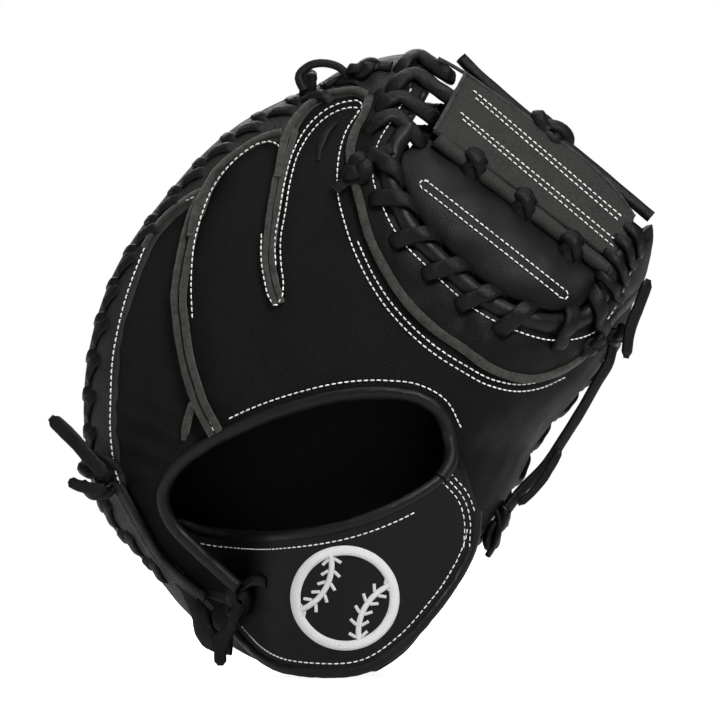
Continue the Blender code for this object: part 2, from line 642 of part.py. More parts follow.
def web_edge(place, side, reach):
    """A point on a lace over the web opening's roll: side -1 is on the back, 0 on the roll, 1 on the web."""
    plan = smooth(CROTCH, 200)
    shifted = beside(plan, (reach if side > 0 else WEB_LACE_REACH) * side)
    i = int(round(place * 199))
    x, z = shifted[i]
    over_roll, n = back_at(plan[i, 0], plan[i, 1], ROLL / 2 - LEATHER + LACE_T / 2 + 3 * GAP)
    web_n = -WEB_NORMAL
    if side <= 0:
        on_back, n = back_at(x, z, LACE_T / 2 + 2 * GAP)
        share = -side
        return on_back[0] * share + over_roll[0] * (1 - share), n[0]
    on_web = np.array([x, web_y(x, z) - WEB_LEATHER - 4 * GAP - LACE_T / 2 - (WEB_LACE_REACH - reach), z])
    return on_web * side + over_roll[0] * (1 - side), n[0] * (1 - side) + web_n * side


def make_laces():
    sides = np.array([-1.0, -0.5, 0.0, 0.5, 1.0])
    for name, first, last, count in (
        ("perimeter_lace_fingers", 88, 216, 22),
        ("perimeter_lace_thumb", -42, 22, 10),
    ):
        path, normals = serpentine(np.linspace(first, last, count), sides, rim_edge)
        sweep(name, path, normals, LACE_W - 0.6, LACE_T, "rawhide_lace", sides=6)
    for name, first, last, count, reach in (
        ("index_tip_lace", 0.06, 0.185, 4, 8.0),
        ("web_lace_finger_side", 0.26, 0.58, 6, WEB_LACE_REACH),
        ("web_lace_thumb_side", 0.76, 0.87, 3, WEB_LACE_REACH),
    ):
        def over_roll(place, side, reach=reach):
            return web_edge(place, side, reach)

        path, normals = serpentine(np.linspace(first, last, count), np.array([-1.0, 0.0, 1.0]), over_roll)
        sweep(name, path, normals, LACE_W - 0.6, LACE_T, "rawhide_lace", sides=6)


def on_back(points, height):
    """A path over the back, through points seen from behind, with its normals."""
    line = smooth(points, 4 * len(points))
    return back_at(line[:, 0], line[:, 1], height)


def make_ties():
    """Knots, loops and the lace ends beyond them."""
    over = LACE_T / 2 + 2 * GAP
    for name, points in SURFACE_LACES.items():
        sweep(name, *on_back(points, over), LACE_W, LACE_T, "rawhide_lace", 6)
    for name, (points, height, size, axis) in KNOTS.items():
        (centre,), _ = back_at(*np.array([points], float).T, height)
        knot(name, centre, axis, size)
    for name, (points, normal, width, thickness) in LOOSE_LACES.items():
        path = smooth(points, 3 * len(points))
        normals = np.tile(np.array(normal, float), (len(path), 1))
        obj = sweep(name, path, normals, width, thickness, "rawhide_lace", 6)
        if name in SWINGING:
            set_origin(obj, points[0])


def make_strap():
    """The wrist strap: a leather band that arches over the hand opening."""
    arch = smooth(STRAP_ARCH, 60)
    top, bottom = smooth(STRAP_TOP, 60), smooth(STRAP_BOTTOM, 60)
    share = np.linspace(0, 1, 22)[:, None]
    across = np.linspace(0, 1, 4)[None, :]
    x_low, z_low = (np.interp(share, np.linspace(0, 1, 60), bottom[:, k]) for k in (0, 1))
    x_high, z_high = (np.interp(share, np.linspace(0, 1, 60), top[:, k]) for k in (0, 1))
    x = x_low * (1 - across) + x_high * across
    z = z_low * (1 - across) + z_high * across
    grids = []
    for offset in (-STRAP_LEATHER, 0.0, GAP, GAP + STRAP_LINING):
        y = np.interp(x, arch[:, 0], arch[:, 1]) + offset
        grids.append(np.stack([x, y, z], -1))
    layer("wrist_strap", grids[0], grids[1], "black_leather")
    layer("strap_lining", grids[2], grids[3], "lining_fabric")


def make_emblem():
    """The round embroidered badge, a little off the strap's face."""
    arch = smooth(STRAP_ARCH, 60)
    angle = 2 * math.pi * np.arange(20) / 20
    badge = np.column_stack([EMBLEM[0] + EMBLEM_R * np.cos(angle), EMBLEM[1] + EMBLEM_R * np.sin(angle)])
    bm = bmesh.new()
    strap_y = np.interp(badge[:, 0], arch[:, 0], arch[:, 1]) - STRAP_LEATHER
    ends = [[bm.verts.new(p * MM) for p in at_depth(badge, strap_y - h)] for h in EMBLEM_HEIGHTS]
    for end in ends:
        middle = sum((v.co for v in end), Vector()) / len(end)
        centre = bm.verts.new(middle + Vector((0, -EMBLEM_CROWN * MM, 0)))
        for a, b in zip(end, end[1:] + end[:1]):
            bm.faces.new((a, b, centre))
    add_grid(bm, [end + end[:1] for end in ends])
    add_object("strap_emblem", bm, "white_thread")


def hang(names, name, place, along):
    """Parent pieces to an empty on their joint's axis, without moving them."""
    pivot = bpy.data.objects.new(name, None)
    bpy.context.scene.collection.objects.link(pivot)
    pivot.location = Vector(place) * MM
    pivot.rotation_euler = Vector(along).to_track_quat("Z", "Y").to_euler()
    bpy.context.view_layer.update()
    for piece in names:
        obj = bpy.data.objects[piece]
        obj.parent = pivot
        obj.matrix_parent_inverse = pivot.matrix_world.inverted()


def stand_on_heel():
    """Move everything so that the middle of the heel's flat is the origin."""
    for obj in bpy.data.objects:
        if obj.parent is None:
            obj.location -= Vector(HEEL_REST) * MM


def main():
    for obj in list(bpy.data.objects):
        bpy.data.objects.remove(obj, do_unlink=True)
    cutters = make_cutters()
    make_shells(cutters)
    make_pads()
    make_bindings()
    make_stall_walls()
    make_web(cutters)
    make_laces()
    make_ties()
    make_strap()
    make_emblem()
    hang(THUMB_PIECES, "thumb_axis", BREAK_LOW, BREAK_HIGH - BREAK_LOW)
    hang(STRAP_PIECES, "strap_axis", STRAP_HINGE, BREAK_HIGH - BREAK_LOW)
    stand_on_heel()


main()
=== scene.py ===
"""Looks of the catcher's mitt: leather, mesh, suede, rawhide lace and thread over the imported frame.

Shapes are worked out in millimetres in the mitt's own drawing frame: x towards the thumb, y out of the
pocket, z up, with the back of the hand facing -y. place() moves them to the frame of the CAD part.
"""
import math

import bmesh
import bpy
import numpy as np
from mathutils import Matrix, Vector, noise


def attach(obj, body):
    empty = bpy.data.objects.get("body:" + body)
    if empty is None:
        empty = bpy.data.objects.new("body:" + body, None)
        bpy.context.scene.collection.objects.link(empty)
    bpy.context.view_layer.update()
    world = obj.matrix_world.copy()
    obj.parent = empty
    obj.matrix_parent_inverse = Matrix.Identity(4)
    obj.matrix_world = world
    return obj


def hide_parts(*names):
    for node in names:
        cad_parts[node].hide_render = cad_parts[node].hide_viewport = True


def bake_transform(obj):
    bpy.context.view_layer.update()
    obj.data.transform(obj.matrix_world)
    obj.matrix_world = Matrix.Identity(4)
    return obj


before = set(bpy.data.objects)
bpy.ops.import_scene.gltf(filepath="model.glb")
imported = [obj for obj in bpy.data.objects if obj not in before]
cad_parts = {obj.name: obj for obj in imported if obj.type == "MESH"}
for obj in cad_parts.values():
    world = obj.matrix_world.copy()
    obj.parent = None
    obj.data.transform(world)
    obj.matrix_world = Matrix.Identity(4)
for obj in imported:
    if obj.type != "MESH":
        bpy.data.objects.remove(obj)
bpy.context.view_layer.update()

MM = 0.001
HEEL_REST = np.array([10.0, 19.0, 0.0])      # the frame's origin in the drawing frame

LACE_W, LACE_T = 6.0, 2.8
PIPING = 6.6
ROLL = 9.4
STITCH_PITCH, STITCH_LENGTH, STITCH_WIDTH = 3.0, 2.3, 0.75

HAND_CENTRE = (15.0, 100.0)
DOME_Y = -50.0
POCKET = (30.0, 160.0)
POCKET_Y = 2.0
OUTLINE = [
    (95, 92), (113, 122), (136, 150), (152, 178), (160, 218), (129, 244), (97, 270), (66, 296),
    (36, 297), (0, 283), (-39, 263.5), (-74, 229), (-98, 194), (-110, 159), (-113, 120),
    (-106, 82), (-81, 51), (-62.5, 29.5), (-44, 15.5), (-20, 4.0), (4, -1.0), (22, 0.5),
    (39, 10.5), (54, 29.5), (66.5, 49), (79, 69.5),
]
# Round the rim: angle, depth of the rim, how far round the dome bends (both in degrees), half width and
# height of the padded roll
RIM = [
    (-100, 8, 85, 22, 30), (-75, 14, 88, 20, 30), (-50, 34, 96, 18, 26), (-30, 55, 103, 17, 24),
    (-10, 70, 106, 17, 22), (10, 74, 106, 17, 22), (25, 68, 104, 17, 22), (40, 45, 98, 18, 22),
    (60, 26, 86, 20, 22), (80, 22, 80, 21, 24), (110, 24, 78, 21, 25), (140, 28, 78, 21, 25),
    (170, 30, 78, 21, 25), (200, 26, 78, 21, 26), (230, 14, 80, 22, 28),
]
ROLL_START, ROLL_SWEEP = 0.6, math.radians(140)
BOWL_POWER, BOWL_CURVE = 3.4, 0.0028
WEB_CROTCH = (100.0, 169.0)
WEB_Y, WEB_SLOPE_X, WEB_SLOPE_Z = -29.0, 0.345, 0.453

# Lines of the back, seen from behind: x, z
OPENING = [
    (61.9, 107), (61.4, 117.6), (55.7, 128.2), (45.6, 133.9), (31.2, 135.8), (12, 134.9), (-9.6, 130),
    (-33.6, 121.4), (-55.2, 110.4), (-69.6, 99.4), (-75.8, 86.4), (-73, 74.4), (-62.4, 62.4),
    (-50.4, 51.4), (-39.4, 41.8),
]
CROTCH = [
    (57, 290), (49, 274), (41.5, 262), (34.5, 250), (32.6, 240), (36.5, 227), (43.2, 213.6), (56.6, 199.2),
    (67.7, 188.6), (80.6, 178.6), (95, 171.8), (111.4, 168.5), (125.8, 171.8), (134.5, 182.9), (140, 196),
    (149, 210),
]
WEB_STRIP = [
    (24.3, 277), (21.5, 268), (17.6, 260.5), (15.0, 251), (16.4, 238.1), (19.2, 227), (23.5, 210.2),
    (31.2, 193.9), (39.8, 180.5), (52.3, 167.5), (67.7, 156.5), (81.9, 146.9), (96.5, 143), (108.5, 144.5),
    (122.5, 151.8), (132, 161), (140.5, 172.5), (147.5, 179.5), (155, 187),
]
# Edge of the outer leather band round the top of each finger stall, and the suede lips beside it
STALL_TOPS = [
    [
        (-85.5, 80), (-93.5, 95), (-97.0, 115), (-97.0, 133), (-96.0, 152), (-93.5, 166), (-90.0, 180),
        (-85.5, 193), (-79, 208), (-72.0, 217.5), (-65.5, 223.5), (-59.5, 226.5), (-58.2, 222),
    ],
    [
        (-55.8, 224), (-53.2, 232), (-48.6, 239.5), (-39.8, 247.6), (-31, 253.3), (-24.5, 256.2),
        (-18.5, 256.5), (-17.8, 250),
    ],
    [(-15.5, 243), (-14.0, 256), (-10.5, 264), (-5.5, 270), (1, 274.5), (9, 277.3), (17.5, 278), (23, 275)],
]
STALL_LIPS = [
    [(-83.6, 204.5), (-78.2, 213.6), (-70.9, 221.8), (-61.9, 228.5), (-55.5, 231.7)],
    [
        (-61.0, 210), (-59.2, 219), (-57.3, 226.3), (-53.7, 233.5), (-49.2, 240.8), (-40.1, 249),
        (-31, 254.9), (-23.8, 258.2), (-17.8, 259.5),
    ],
    [
        (-19.4, 238), (-17.7, 249), (-16.0, 257), (-12.9, 263.5), (-7.5, 270.7), (-0.2, 276.2), (8.9, 279.2),
        (17.5, 279.8), (23.5, 277.5),
    ],
]
STRIP_A = [
    (-54.7, 234), (-61, 216.5), (-64.8, 199.7), (-67.2, 182.4), (-65.8, 166.6), (-62.4, 148.3),
    (-56.2, 129.6), (-49, 116),
]
STRIP_B = [(-13, 262), (-17.5, 246), (-20.5, 231), (-23, 213), (-24, 198), (-21.8, 186), (-19.5, 178)]


def unit(vectors):
    return vectors / np.linalg.norm(vectors, axis=-1, keepdims=True)


def arc_length(points):
    """The length of a line up to each of its points."""
    return np.concatenate([[0], np.cumsum(np.linalg.norm(np.diff(points, axis=0), axis=1))])


def hermite(values, slopes, i, step, u):
    """The smooth curve from place i to the next, at the share u of the step between them."""
    return (
        values[i] * (2 * u**3 - 3 * u**2 + 1) + values[i + 1] * (3 * u**2 - 2 * u**3)
        + step * (slopes[i] * (u**3 - 2 * u**2 + u) + slopes[i + 1] * (u**3 - u**2))
    )


def curve_table(angles, values):
    """A smooth periodic function of an angle in degrees, through the given values."""
    order = np.argsort(np.mod(angles, 360.0))
    a = np.mod(np.asarray(angles, float), 360.0)[order]
    v = np.asarray(values, float)[order]
    a = np.concatenate([a[-3:] - 360.0, a, a[:3] + 360.0])
    v = np.concatenate([v[-3:], v, v[:3]])
    slope = np.gradient(v, a)

    def value(angle):
        x = np.mod(angle, 360.0)
        i = np.clip(np.searchsorted(a, x, side="right") - 1, 0, len(a) - 2)
        step = a[i + 1] - a[i]
        return hermite(v, slope, i, step, (x - a[i]) / step)

    return value


def polar_of(points, centre):
    d = np.asarray(points, float) - np.asarray(centre)
    return np.degrees(np.arctan2(d[:, 1], d[:, 0])), np.hypot(d[:, 0], d[:, 1])


outline_radius = curve_table(*polar_of(OUTLINE, HAND_CENTRE))
rim_depth, rim_wrap, roll_half, roll_height = (
    curve_table([row[0] for row in RIM], [row[k] for row in RIM]) for k in range(1, 5)
)


def back_point(theta, t):
    """The back of the mitt. theta in degrees round the hand opening, t from 0 at the pole to 1 at the rim."""
    theta, t = np.broadcast_arrays(np.asarray(theta, float), np.asarray(t, float))
    wrap = np.radians(rim_wrap(theta))
    bend = t * wrap
    r = outline_radius(theta) * np.sin(bend) / np.sin(np.minimum(wrap, math.pi / 2))
    y = DOME_Y + (rim_depth(theta) - DOME_Y) * (1 - np.cos(bend)) / (1 - np.cos(wrap))
    a = np.radians(theta)
    return np.stack([HAND_CENTRE[0] + r * np.cos(a), y, HAND_CENTRE[1] + r * np.sin(a)], -1)


RIM_ANGLES = np.arange(0.0, 360.0, 1.0)
RIM_POINTS = back_point(RIM_ANGLES, 1.0)
rim_bearing, rim_reach = polar_of(RIM_POINTS[:, [0, 2]], POCKET)
palm_reach = curve_table(rim_bearing, rim_reach)
palm_rim_y, palm_half, palm_height = (
    curve_table(rim_bearing, f) for f in (RIM_POINTS[:, 1], roll_half(RIM_ANGLES), roll_height(RIM_ANGLES))
)


def palm_point(bearing, s):
    """The palm. bearing in degrees round the pocket, s from 0 in the middle to 1 at the rim."""
    bearing, s = np.broadcast_arrays(np.asarray(bearing, float), np.asarray(s, float))
    reach, half, height = palm_reach(bearing), palm_half(bearing), palm_height(bearing)
    foot_y = palm_rim_y(bearing) + 2.0
    turn = ROLL_SWEEP * (1 - np.clip(s, ROLL_START, 1)) / (1 - ROLL_START)
    roll_r = reach - half + half * np.cos(turn)
    roll_y = foot_y + height * np.sin(turn)
    end_r = reach - half + half * math.cos(ROLL_SWEEP)
    rise = foot_y + height * math.sin(ROLL_SWEEP) - POCKET_Y
    u = np.clip(s / ROLL_START, 0, 1)
    bottom = BOWL_CURVE * end_r**2
    bowl_y = POCKET_Y + bottom * u**2 + (rise - bottom) * u**BOWL_POWER
    in_bowl = s < ROLL_START
    r, y = np.where(in_bowl, end_r * u, roll_r), np.where(in_bowl, bowl_y, roll_y)
    a = np.radians(bearing)
    return np.stack([POCKET[0] + r * np.cos(a), y, POCKET[1] + r * np.sin(a)], -1)


def raised(surface, a, b, height, sign):
    """Points at a height above a surface, on its outer side. sign is -1 for the back and 1 for the palm."""
    a, b = np.broadcast_arrays(np.asarray(a, float), np.asarray(b, float))
    b_in = np.maximum(b, 0.02)
    da = surface(a + 0.5, b_in) - surface(a - 0.5, b_in)
    db = surface(a, b_in + 0.004) - surface(a, b_in - 0.004)
    n = unit(sign * np.cross(da, db))
    return surface(a, b) + n * np.asarray(height)[..., None], n


def back_at(x, z, height=0.0):
    """The point and outward normal of the back at places seen from behind."""
    angle, r = polar_of(np.column_stack([np.ravel(x), np.ravel(z)]), HAND_CENTRE)
    return raised(back_point, angle, share_at(angle, r, 0.997), height, -1)


def palm_y(x, z):
    """Depth of the palm's surface at a place seen from behind."""
    bearing, r = polar_of(np.column_stack([x, z]), POCKET)
    reach, half = palm_reach(bearing), palm_half(bearing)
    end_r = reach - half * (1 - math.cos(ROLL_SWEEP))
    turn = np.arccos(np.clip((r - reach + half) / half, math.cos(ROLL_SWEEP), 1))
    in_roll = 1 - (1 - ROLL_START) * turn / ROLL_SWEEP
    return palm_point(bearing, np.where(r < end_r, ROLL_START * r / end_r, in_roll))[:, 1]


def web_y(x, z):
    """Depth of the web's plane."""
    return WEB_Y + WEB_SLOPE_X * (x - WEB_CROTCH[0]) + WEB_SLOPE_Z * (z - WEB_CROTCH[1])


def smooth(points, count):
    """count points spaced evenly along a smooth curve through the given ones."""
    p = np.asarray(points, float)
    knots = arc_length(p)
    slope = np.gradient(p, knots, axis=0)
    fine = np.linspace(0, knots[-1], 40 * len(p))
    i = np.clip(np.searchsorted(knots, fine, side="right") - 1, 0, len(p) - 2)
    step = (knots[i + 1] - knots[i])[:, None]
    return respaced(hermite(p, slope, i, step, (fine - knots[i])[:, None] / step), count)


def respaced(points, count):
    along = arc_length(points)
    at = np.linspace(0, along[-1], count)
    return np.stack([np.interp(at, along, points[:, k]) for k in range(points.shape[1])], -1)


def length_of(points):
    return float(np.linalg.norm(np.diff(points, axis=0), axis=1).sum())


def beside(points, distance):
    """A plane curve moved to its left by a distance."""
    d = unit(np.gradient(points, axis=0))
    return points + distance * np.column_stack([-d[:, 1], d[:, 0]])


def distance_to(points, line):
    """Distance of each plane point to a polyline."""
    best = np.full(len(points), 1e9)
    for a, b in zip(line[:-1], line[1:]):
        d = b - a
        share = np.clip(((points - a) @ d) / (d @ d), 0, 1)
        best = np.minimum(best, np.linalg.norm(points - a - share[:, None] * d, axis=1))
    return best


def inside(points, outline):
    """Whether each plane point lies inside a closed outline."""
    x, z = points[:, 0], points[:, 1]
    found = np.zeros(len(points), bool)
    for (x0, z0), (x1, z1) in zip(outline, np.roll(outline, -1, axis=0)):
        crosses = (z0 > z) != (z1 > z)
        with np.errstate(divide="ignore", invalid="ignore"):
            found ^= crosses & (x < (x1 - x0) * (z - z0) / (z1 - z0) + x0)
    return found


def place(points):
    """Drawing millimetres to the frame's metres."""
    return (np.asarray(points, float) - HEEL_REST) * MM


# ---------------------------------------------------------------- meshes

def add_mesh(name, points, faces, materials, face_material=None, uv=None):
    mesh = bpy.data.meshes.new(name)
    mesh.from_pydata(place(points).tolist(), [], [list(f) for f in faces])
    if uv is not None:
        corners = np.empty(len(mesh.loops), int)
        mesh.loops.foreach_get("vertex_index", corners)
        mesh.uv_layers.new(name="plan").data.foreach_set("uv", (uv[corners] * MM).ravel())
    for item in materials if isinstance(materials, (list, tuple)) else [materials]:
        mesh.materials.append(item)
    if face_material is not None:
        mesh.polygons.foreach_set("material_index", face_material)
    mesh.shade_smooth()
    mesh.validate()
    obj = bpy.data.objects.new(name, mesh)
    bpy.context.scene.collection.objects.link(obj)
    return obj


def grid_faces(rows, columns, closed_rows=False, closed_columns=False, start=0):
    """Quads over a grid of points stored row by row."""
    i = np.arange(rows if closed_rows else rows - 1)
    j = np.arange(columns if closed_columns else columns - 1)
    i, j = (m.ravel() for m in np.meshgrid(i, j, indexing="ij"))
    i2, j2 = (i + 1) % rows, (j + 1) % columns
    return start + np.stack([i * columns + j, i2 * columns + j, i2 * columns + j2, i * columns + j2], -1)


def sheet(name, outer, inner, materials, keep=None, uv=None, closed=False):
    """A sheet with two faces and its cut edges, from two grids of points and a mask of the quads to keep.
    A second material goes on the cut edges."""
    rows, columns = outer.shape[:2]
    quads = grid_faces(rows, columns, closed_rows=closed)
    if keep is not None:
        quads = quads[keep.ravel()]
    count = rows * columns
    points = np.vstack([outer.reshape(-1, 3), inner.reshape(-1, 3)])
    p = points[quads]
    turn = np.cross(p[:, 2] - p[:, 0], p[:, 3] - p[:, 1])
    if np.einsum("ij,ij->i", turn, points[quads[:, 0]] - points[quads[:, 0] + count]).sum() < 0:
        quads = quads[:, ::-1]
    edges = {}
    for a, b, c, d in quads.tolist():
        for pair in ((a, b), (b, c), (c, d), (d, a)):
            if edges.pop(pair[::-1], None) is None:
                edges[pair] = True
    walls = np.array([(b, a, a + count, b + count) for a, b in edges])
    faces = np.vstack([quads, quads[:, ::-1] + count, walls])
    used = np.unique(faces)
    renumber = np.full(len(points), -1)
    renumber[used] = np.arange(len(used))
    on_edge = np.repeat([0, 0, 1], [len(quads), len(quads), len(walls)])
    if not isinstance(materials, (list, tuple)):
        on_edge[:] = 0
    if uv is not None:
        uv = np.vstack([uv.reshape(-1, 2)] * 2)[used]
    return add_mesh(name, points[used], renumber[faces], materials, on_edge, uv)


def midpoints(grid):
    """The middle of each quad of a grid whose last row meets its first."""
    grid = np.concatenate([grid, grid[:1]])
    return (grid[:-1, :-1] + grid[1:, :-1] + grid[:-1, 1:] + grid[1:, 1:]) / 4


def quads_from_behind(grid):
    return midpoints(grid)[..., [0, 2]].reshape(-1, 2)


class Bundle:
    """Gathers many small closed shapes into one mesh."""

    def __init__(self):
        self.points, self.faces, self.count = [], [], 0

    def add(self, points, faces):
        self.points.append(points)
        self.faces += [[self.count + k for k in f] for f in faces]
        self.count += len(points)

    def build(self, name, material):
        return add_mesh(name, np.vstack(self.points), self.faces, material)


def frames_along(path, normals):
    along = unit(np.gradient(path, axis=0))
    across = np.cross(along, normals)
    across /= np.maximum(np.linalg.norm(across, axis=1, keepdims=True), 1e-9)
    return along, across, np.cross(across, along)


def tube_faces(rings, sides):
    """Faces of a closed tube: its wall, then its two ends."""
    wall = grid_faces(rings, sides, closed_columns=True)[:, ::-1].tolist()
    return wall + [list(range(sides)), list(range((rings - 1) * sides, rings * sides))[::-1]]


def strand(bundle, path, normals, width, thickness, sides=12, squareness=0.55, taper=0.0, seed=0.0):
    """A lace or cord with a rounded flat section along a path, its broad side to the normals."""
    path, normals = np.asarray(path, float), np.asarray(normals, float)
    _, across, up = frames_along(path, normals)
    turn = 2 * math.pi * (np.arange(sides) + 0.5) / sides
    c, s = np.cos(turn), np.sin(turn)
    c, s = np.sign(c) * np.abs(c) ** squareness, np.sign(s) * np.abs(s) ** squareness
    share = np.linspace(0, 1, len(path))
    size = np.ones(len(path))
    if taper:
        size = np.clip(np.minimum(share, 1 - share) / taper, 0.25, 1) ** 0.5
    wobble = np.array([noise.noise(Vector((k * 0.21 + seed, seed, 1.7))) for k in range(len(path))])
    width = width * size * (1 + 0.10 * wobble)
    thickness = thickness * size * (1 - 0.10 * wobble)
    rings = (
        path[:, None] + (width / 2)[:, None, None] * c[None, :, None] * across[:, None]
        + (thickness / 2)[:, None, None] * s[None, :, None] * up[:, None]
    )
    bundle.add(rings.reshape(-1, 3), tube_faces(len(path), sides))


def lace(bundle, points, normals, width=LACE_W, thickness=LACE_T, step=1.6, seed=0.0, **more):
    """A lace through control points, with one normal or a normal at each."""
    points = np.asarray(points, float)
    normals = np.broadcast_to(np.asarray(normals, float), points.shape)
    both = smooth(np.hstack([points, normals * 1e-3]), max(4, int(length_of(points) / step)))
    strand(bundle, both[:, :3], unit(both[:, 3:]), width, thickness, seed=seed, **more)


STITCH_RINGS = np.array([-0.5, -0.36, 0.0, 0.36, 0.5])
STITCH_SIZES = np.array([0.25, 0.85, 1.0, 0.85, 0.25])


def stitches(bundle, path, normals, width=STITCH_WIDTH, lift=0.25):
    """A row of thread stitches that dip into the leather at their ends."""
    count = max(3, int(length_of(path) / STITCH_PITCH))
    both = respaced(np.hstack([path, normals]), count)
    path, normals = both[:, :3], both[:, 3:]
    along, across, up = frames_along(path, normals)
    sides = 6
    turn = 2 * math.pi * np.arange(sides) / sides
    faces = tube_faces(len(STITCH_RINGS), sides)
    for p, a, c, u in zip(path, along, across, up):
        rings = []
        for at, size in zip(STITCH_RINGS, STITCH_SIZES):
            middle = p + a * at * STITCH_LENGTH + u * (lift - 0.6 * width * (2 * at) ** 4)
            radius = width / 2 * size
            rings.append(middle + (np.cos(turn) * radius)[:, None] * c + (np.sin(turn) * radius)[:, None] * u)
        bundle.add(np.vstack(rings), faces)


def knot(bundle, centre, normal, along, size, seed=0.0, width=4.8, thickness=3.2):
    """An overhand knot pulled tight: the lace follows a flattened trefoil."""
    normal, along = (unit(np.asarray(v, float)) for v in (normal, along))
    across = np.cross(normal, along)
    t = np.linspace(0.12, 2 * math.pi - 0.12, 44)
    x, y, z = np.sin(t) + 2 * np.sin(2 * t), np.cos(t) - 2 * np.cos(2 * t), -np.sin(3 * t)
    path = (
        np.asarray(centre, float) + np.outer(x / 6 * size[0], along) + np.outer(y / 6 * size[1], across)
        + np.outer((z * 0.5 + 0.35) * size[2] * 0.5, normal)
    )
    outward = path - np.asarray(centre) + normal * size[2]
    strand(bundle, path, outward, width, thickness, sides=10, seed=seed)


def parted(obj, body="mitt", nodes=()):
    """Ride one body and stand for CAD nodes."""
    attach(obj, body)
    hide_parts(*nodes)


def bent(obj, nodes=()):
    """Bake the object's place into its mesh, and stand for CAD nodes."""
    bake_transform(obj)
    if nodes:
        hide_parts(*nodes)


# ---------------------------------------------------------------- materials

class Graph:
    """Builds one Principled material out of procedural nodes. Patterns are measured in millimetres."""

    def __init__(self, name, roughness=0.6, **inputs):
        self.material = bpy.data.materials.new(name)
        self.material.use_nodes = True
        self.tree = self.material.node_tree
        self.bsdf = self.tree.nodes["Principled BSDF"]
        self.set(roughness=roughness, **inputs)
        where = self.tree.nodes.new("ShaderNodeTexCoord")
        self.position = self.scaled(where.outputs["Object"], (1 / MM,) * 3)
        self.uv = where.outputs["UV"]

    def feed(self, socket, value):
        """Link a node's output to a socket, or give the socket a plain value."""
        if isinstance(value, bpy.types.NodeSocket):
            self.tree.links.new(value, socket)
        else:
            socket.default_value = value

    def set(self, **inputs):
        for key, value in inputs.items():
            self.feed(self.bsdf.inputs[key.replace("_", " ").title().replace("Ior", "IOR")], value)

    def node(self, kind, settings, **inputs):
        """A node with its settings. An input is named, or numbered as n0, n1 and so on."""
        node = self.tree.nodes.new(kind)
        for key, value in settings.items():
            setattr(node, key, value)
        for key, value in inputs.items():
            self.feed(node.inputs[int(key[1:]) if key[1:].isdigit() else key], value)
        return node

    def scaled(self, vector, scale):
        return self.node("ShaderNodeMapping", {}, Vector=vector, Scale=scale).outputs["Vector"]

    def noise(self, size, detail=3.0, stretch=(1, 1, 1)):
        """Cloudy noise from 0 to 1 with patches of about size millimetres."""
        vector = self.scaled(self.position, tuple(s / size for s in stretch))
        node = self.node("ShaderNodeTexNoise", {}, Vector=vector, Scale=1.0, Detail=detail, Roughness=0.55)
        return node.outputs["Fac"]

    def cells(self, size):
        """Distance inside cells of about size millimetres."""
        vector = self.scaled(self.position, (1 / size,) * 3)
        return self.node("ShaderNodeTexVoronoi", {}, Vector=vector, Scale=1.0).outputs["Distance"]

    def math(self, operation, a, b=0.0):
        return self.node("ShaderNodeMath", {"operation": operation}, n0=a, n1=b).outputs[0]

    def ramp(self, value, low, high, to_low=0.0, to_high=1.0):
        node = self.node("ShaderNodeMapRange", {"clamp": True})
        for socket, item in zip(node.inputs[:5], (value, low, high, to_low, to_high)):
            self.feed(socket, item)
        return node.outputs["Result"]

    def mix(self, share, first, second):
        node = self.node("ShaderNodeMix", {"data_type": "RGBA"})
        self.feed(node.inputs[0], share)
        for socket, item in zip([s for s in node.inputs if s.type == "RGBA"], (first, second)):
            self.feed(socket, (*item, 1.0) if isinstance(item, tuple) else item)
        return next(s for s in node.outputs if s.type == "RGBA")

    def bump(self, height, depth, strength=1.0, normal=None):
        """Relief of about depth millimetres from a height between 0 and 1."""
        node = self.node("ShaderNodeBump", {}, Height=height, Strength=strength, Distance=depth * MM)
        if normal is not None:
            self.tree.links.new(normal, node.inputs["Normal"])
        return node.outputs["Normal"]


def tint(colour, share, lift=0.0):
    return tuple(c * share + lift for c in colour)


def leather(name, colour, grain=1.1, grain_depth=0.16, gloss=0.42, crease=0.5, shine=0.2):
    """Grained leather: pores, folds that catch the light, and slow patches of shade and gloss."""
    g = Graph(name, specular_ior_level=shine)
    pores = g.cells(grain)
    fine = g.noise(grain * 0.5, 4.0)
    folds = g.noise(9.0, 4.0, (1, 1, 0.45))
    patches = g.noise(28.0, 3.0)
    shade = g.mix(g.ramp(patches, 0.3, 0.7), tint(colour, 0.7), tint(colour, 1.35))
    worn = g.ramp(g.math("MULTIPLY", fine, folds), 0.28, 0.48)
    g.set(base_color=g.mix(g.math("MULTIPLY", worn, 0.5), shade, tint(colour, 2.2, 0.002)))
    g.set(roughness=g.ramp(g.math("ADD", patches, fine), 0.7, 1.3, gloss - 0.08, gloss + 0.16))
    normal = g.bump(folds, crease)
    normal = g.bump(g.ramp(pores, 0.0, 0.6), grain_depth, 1.0, normal)
    g.set(normal=g.bump(fine, grain_depth * 0.5, 0.8, normal))
    return g.material


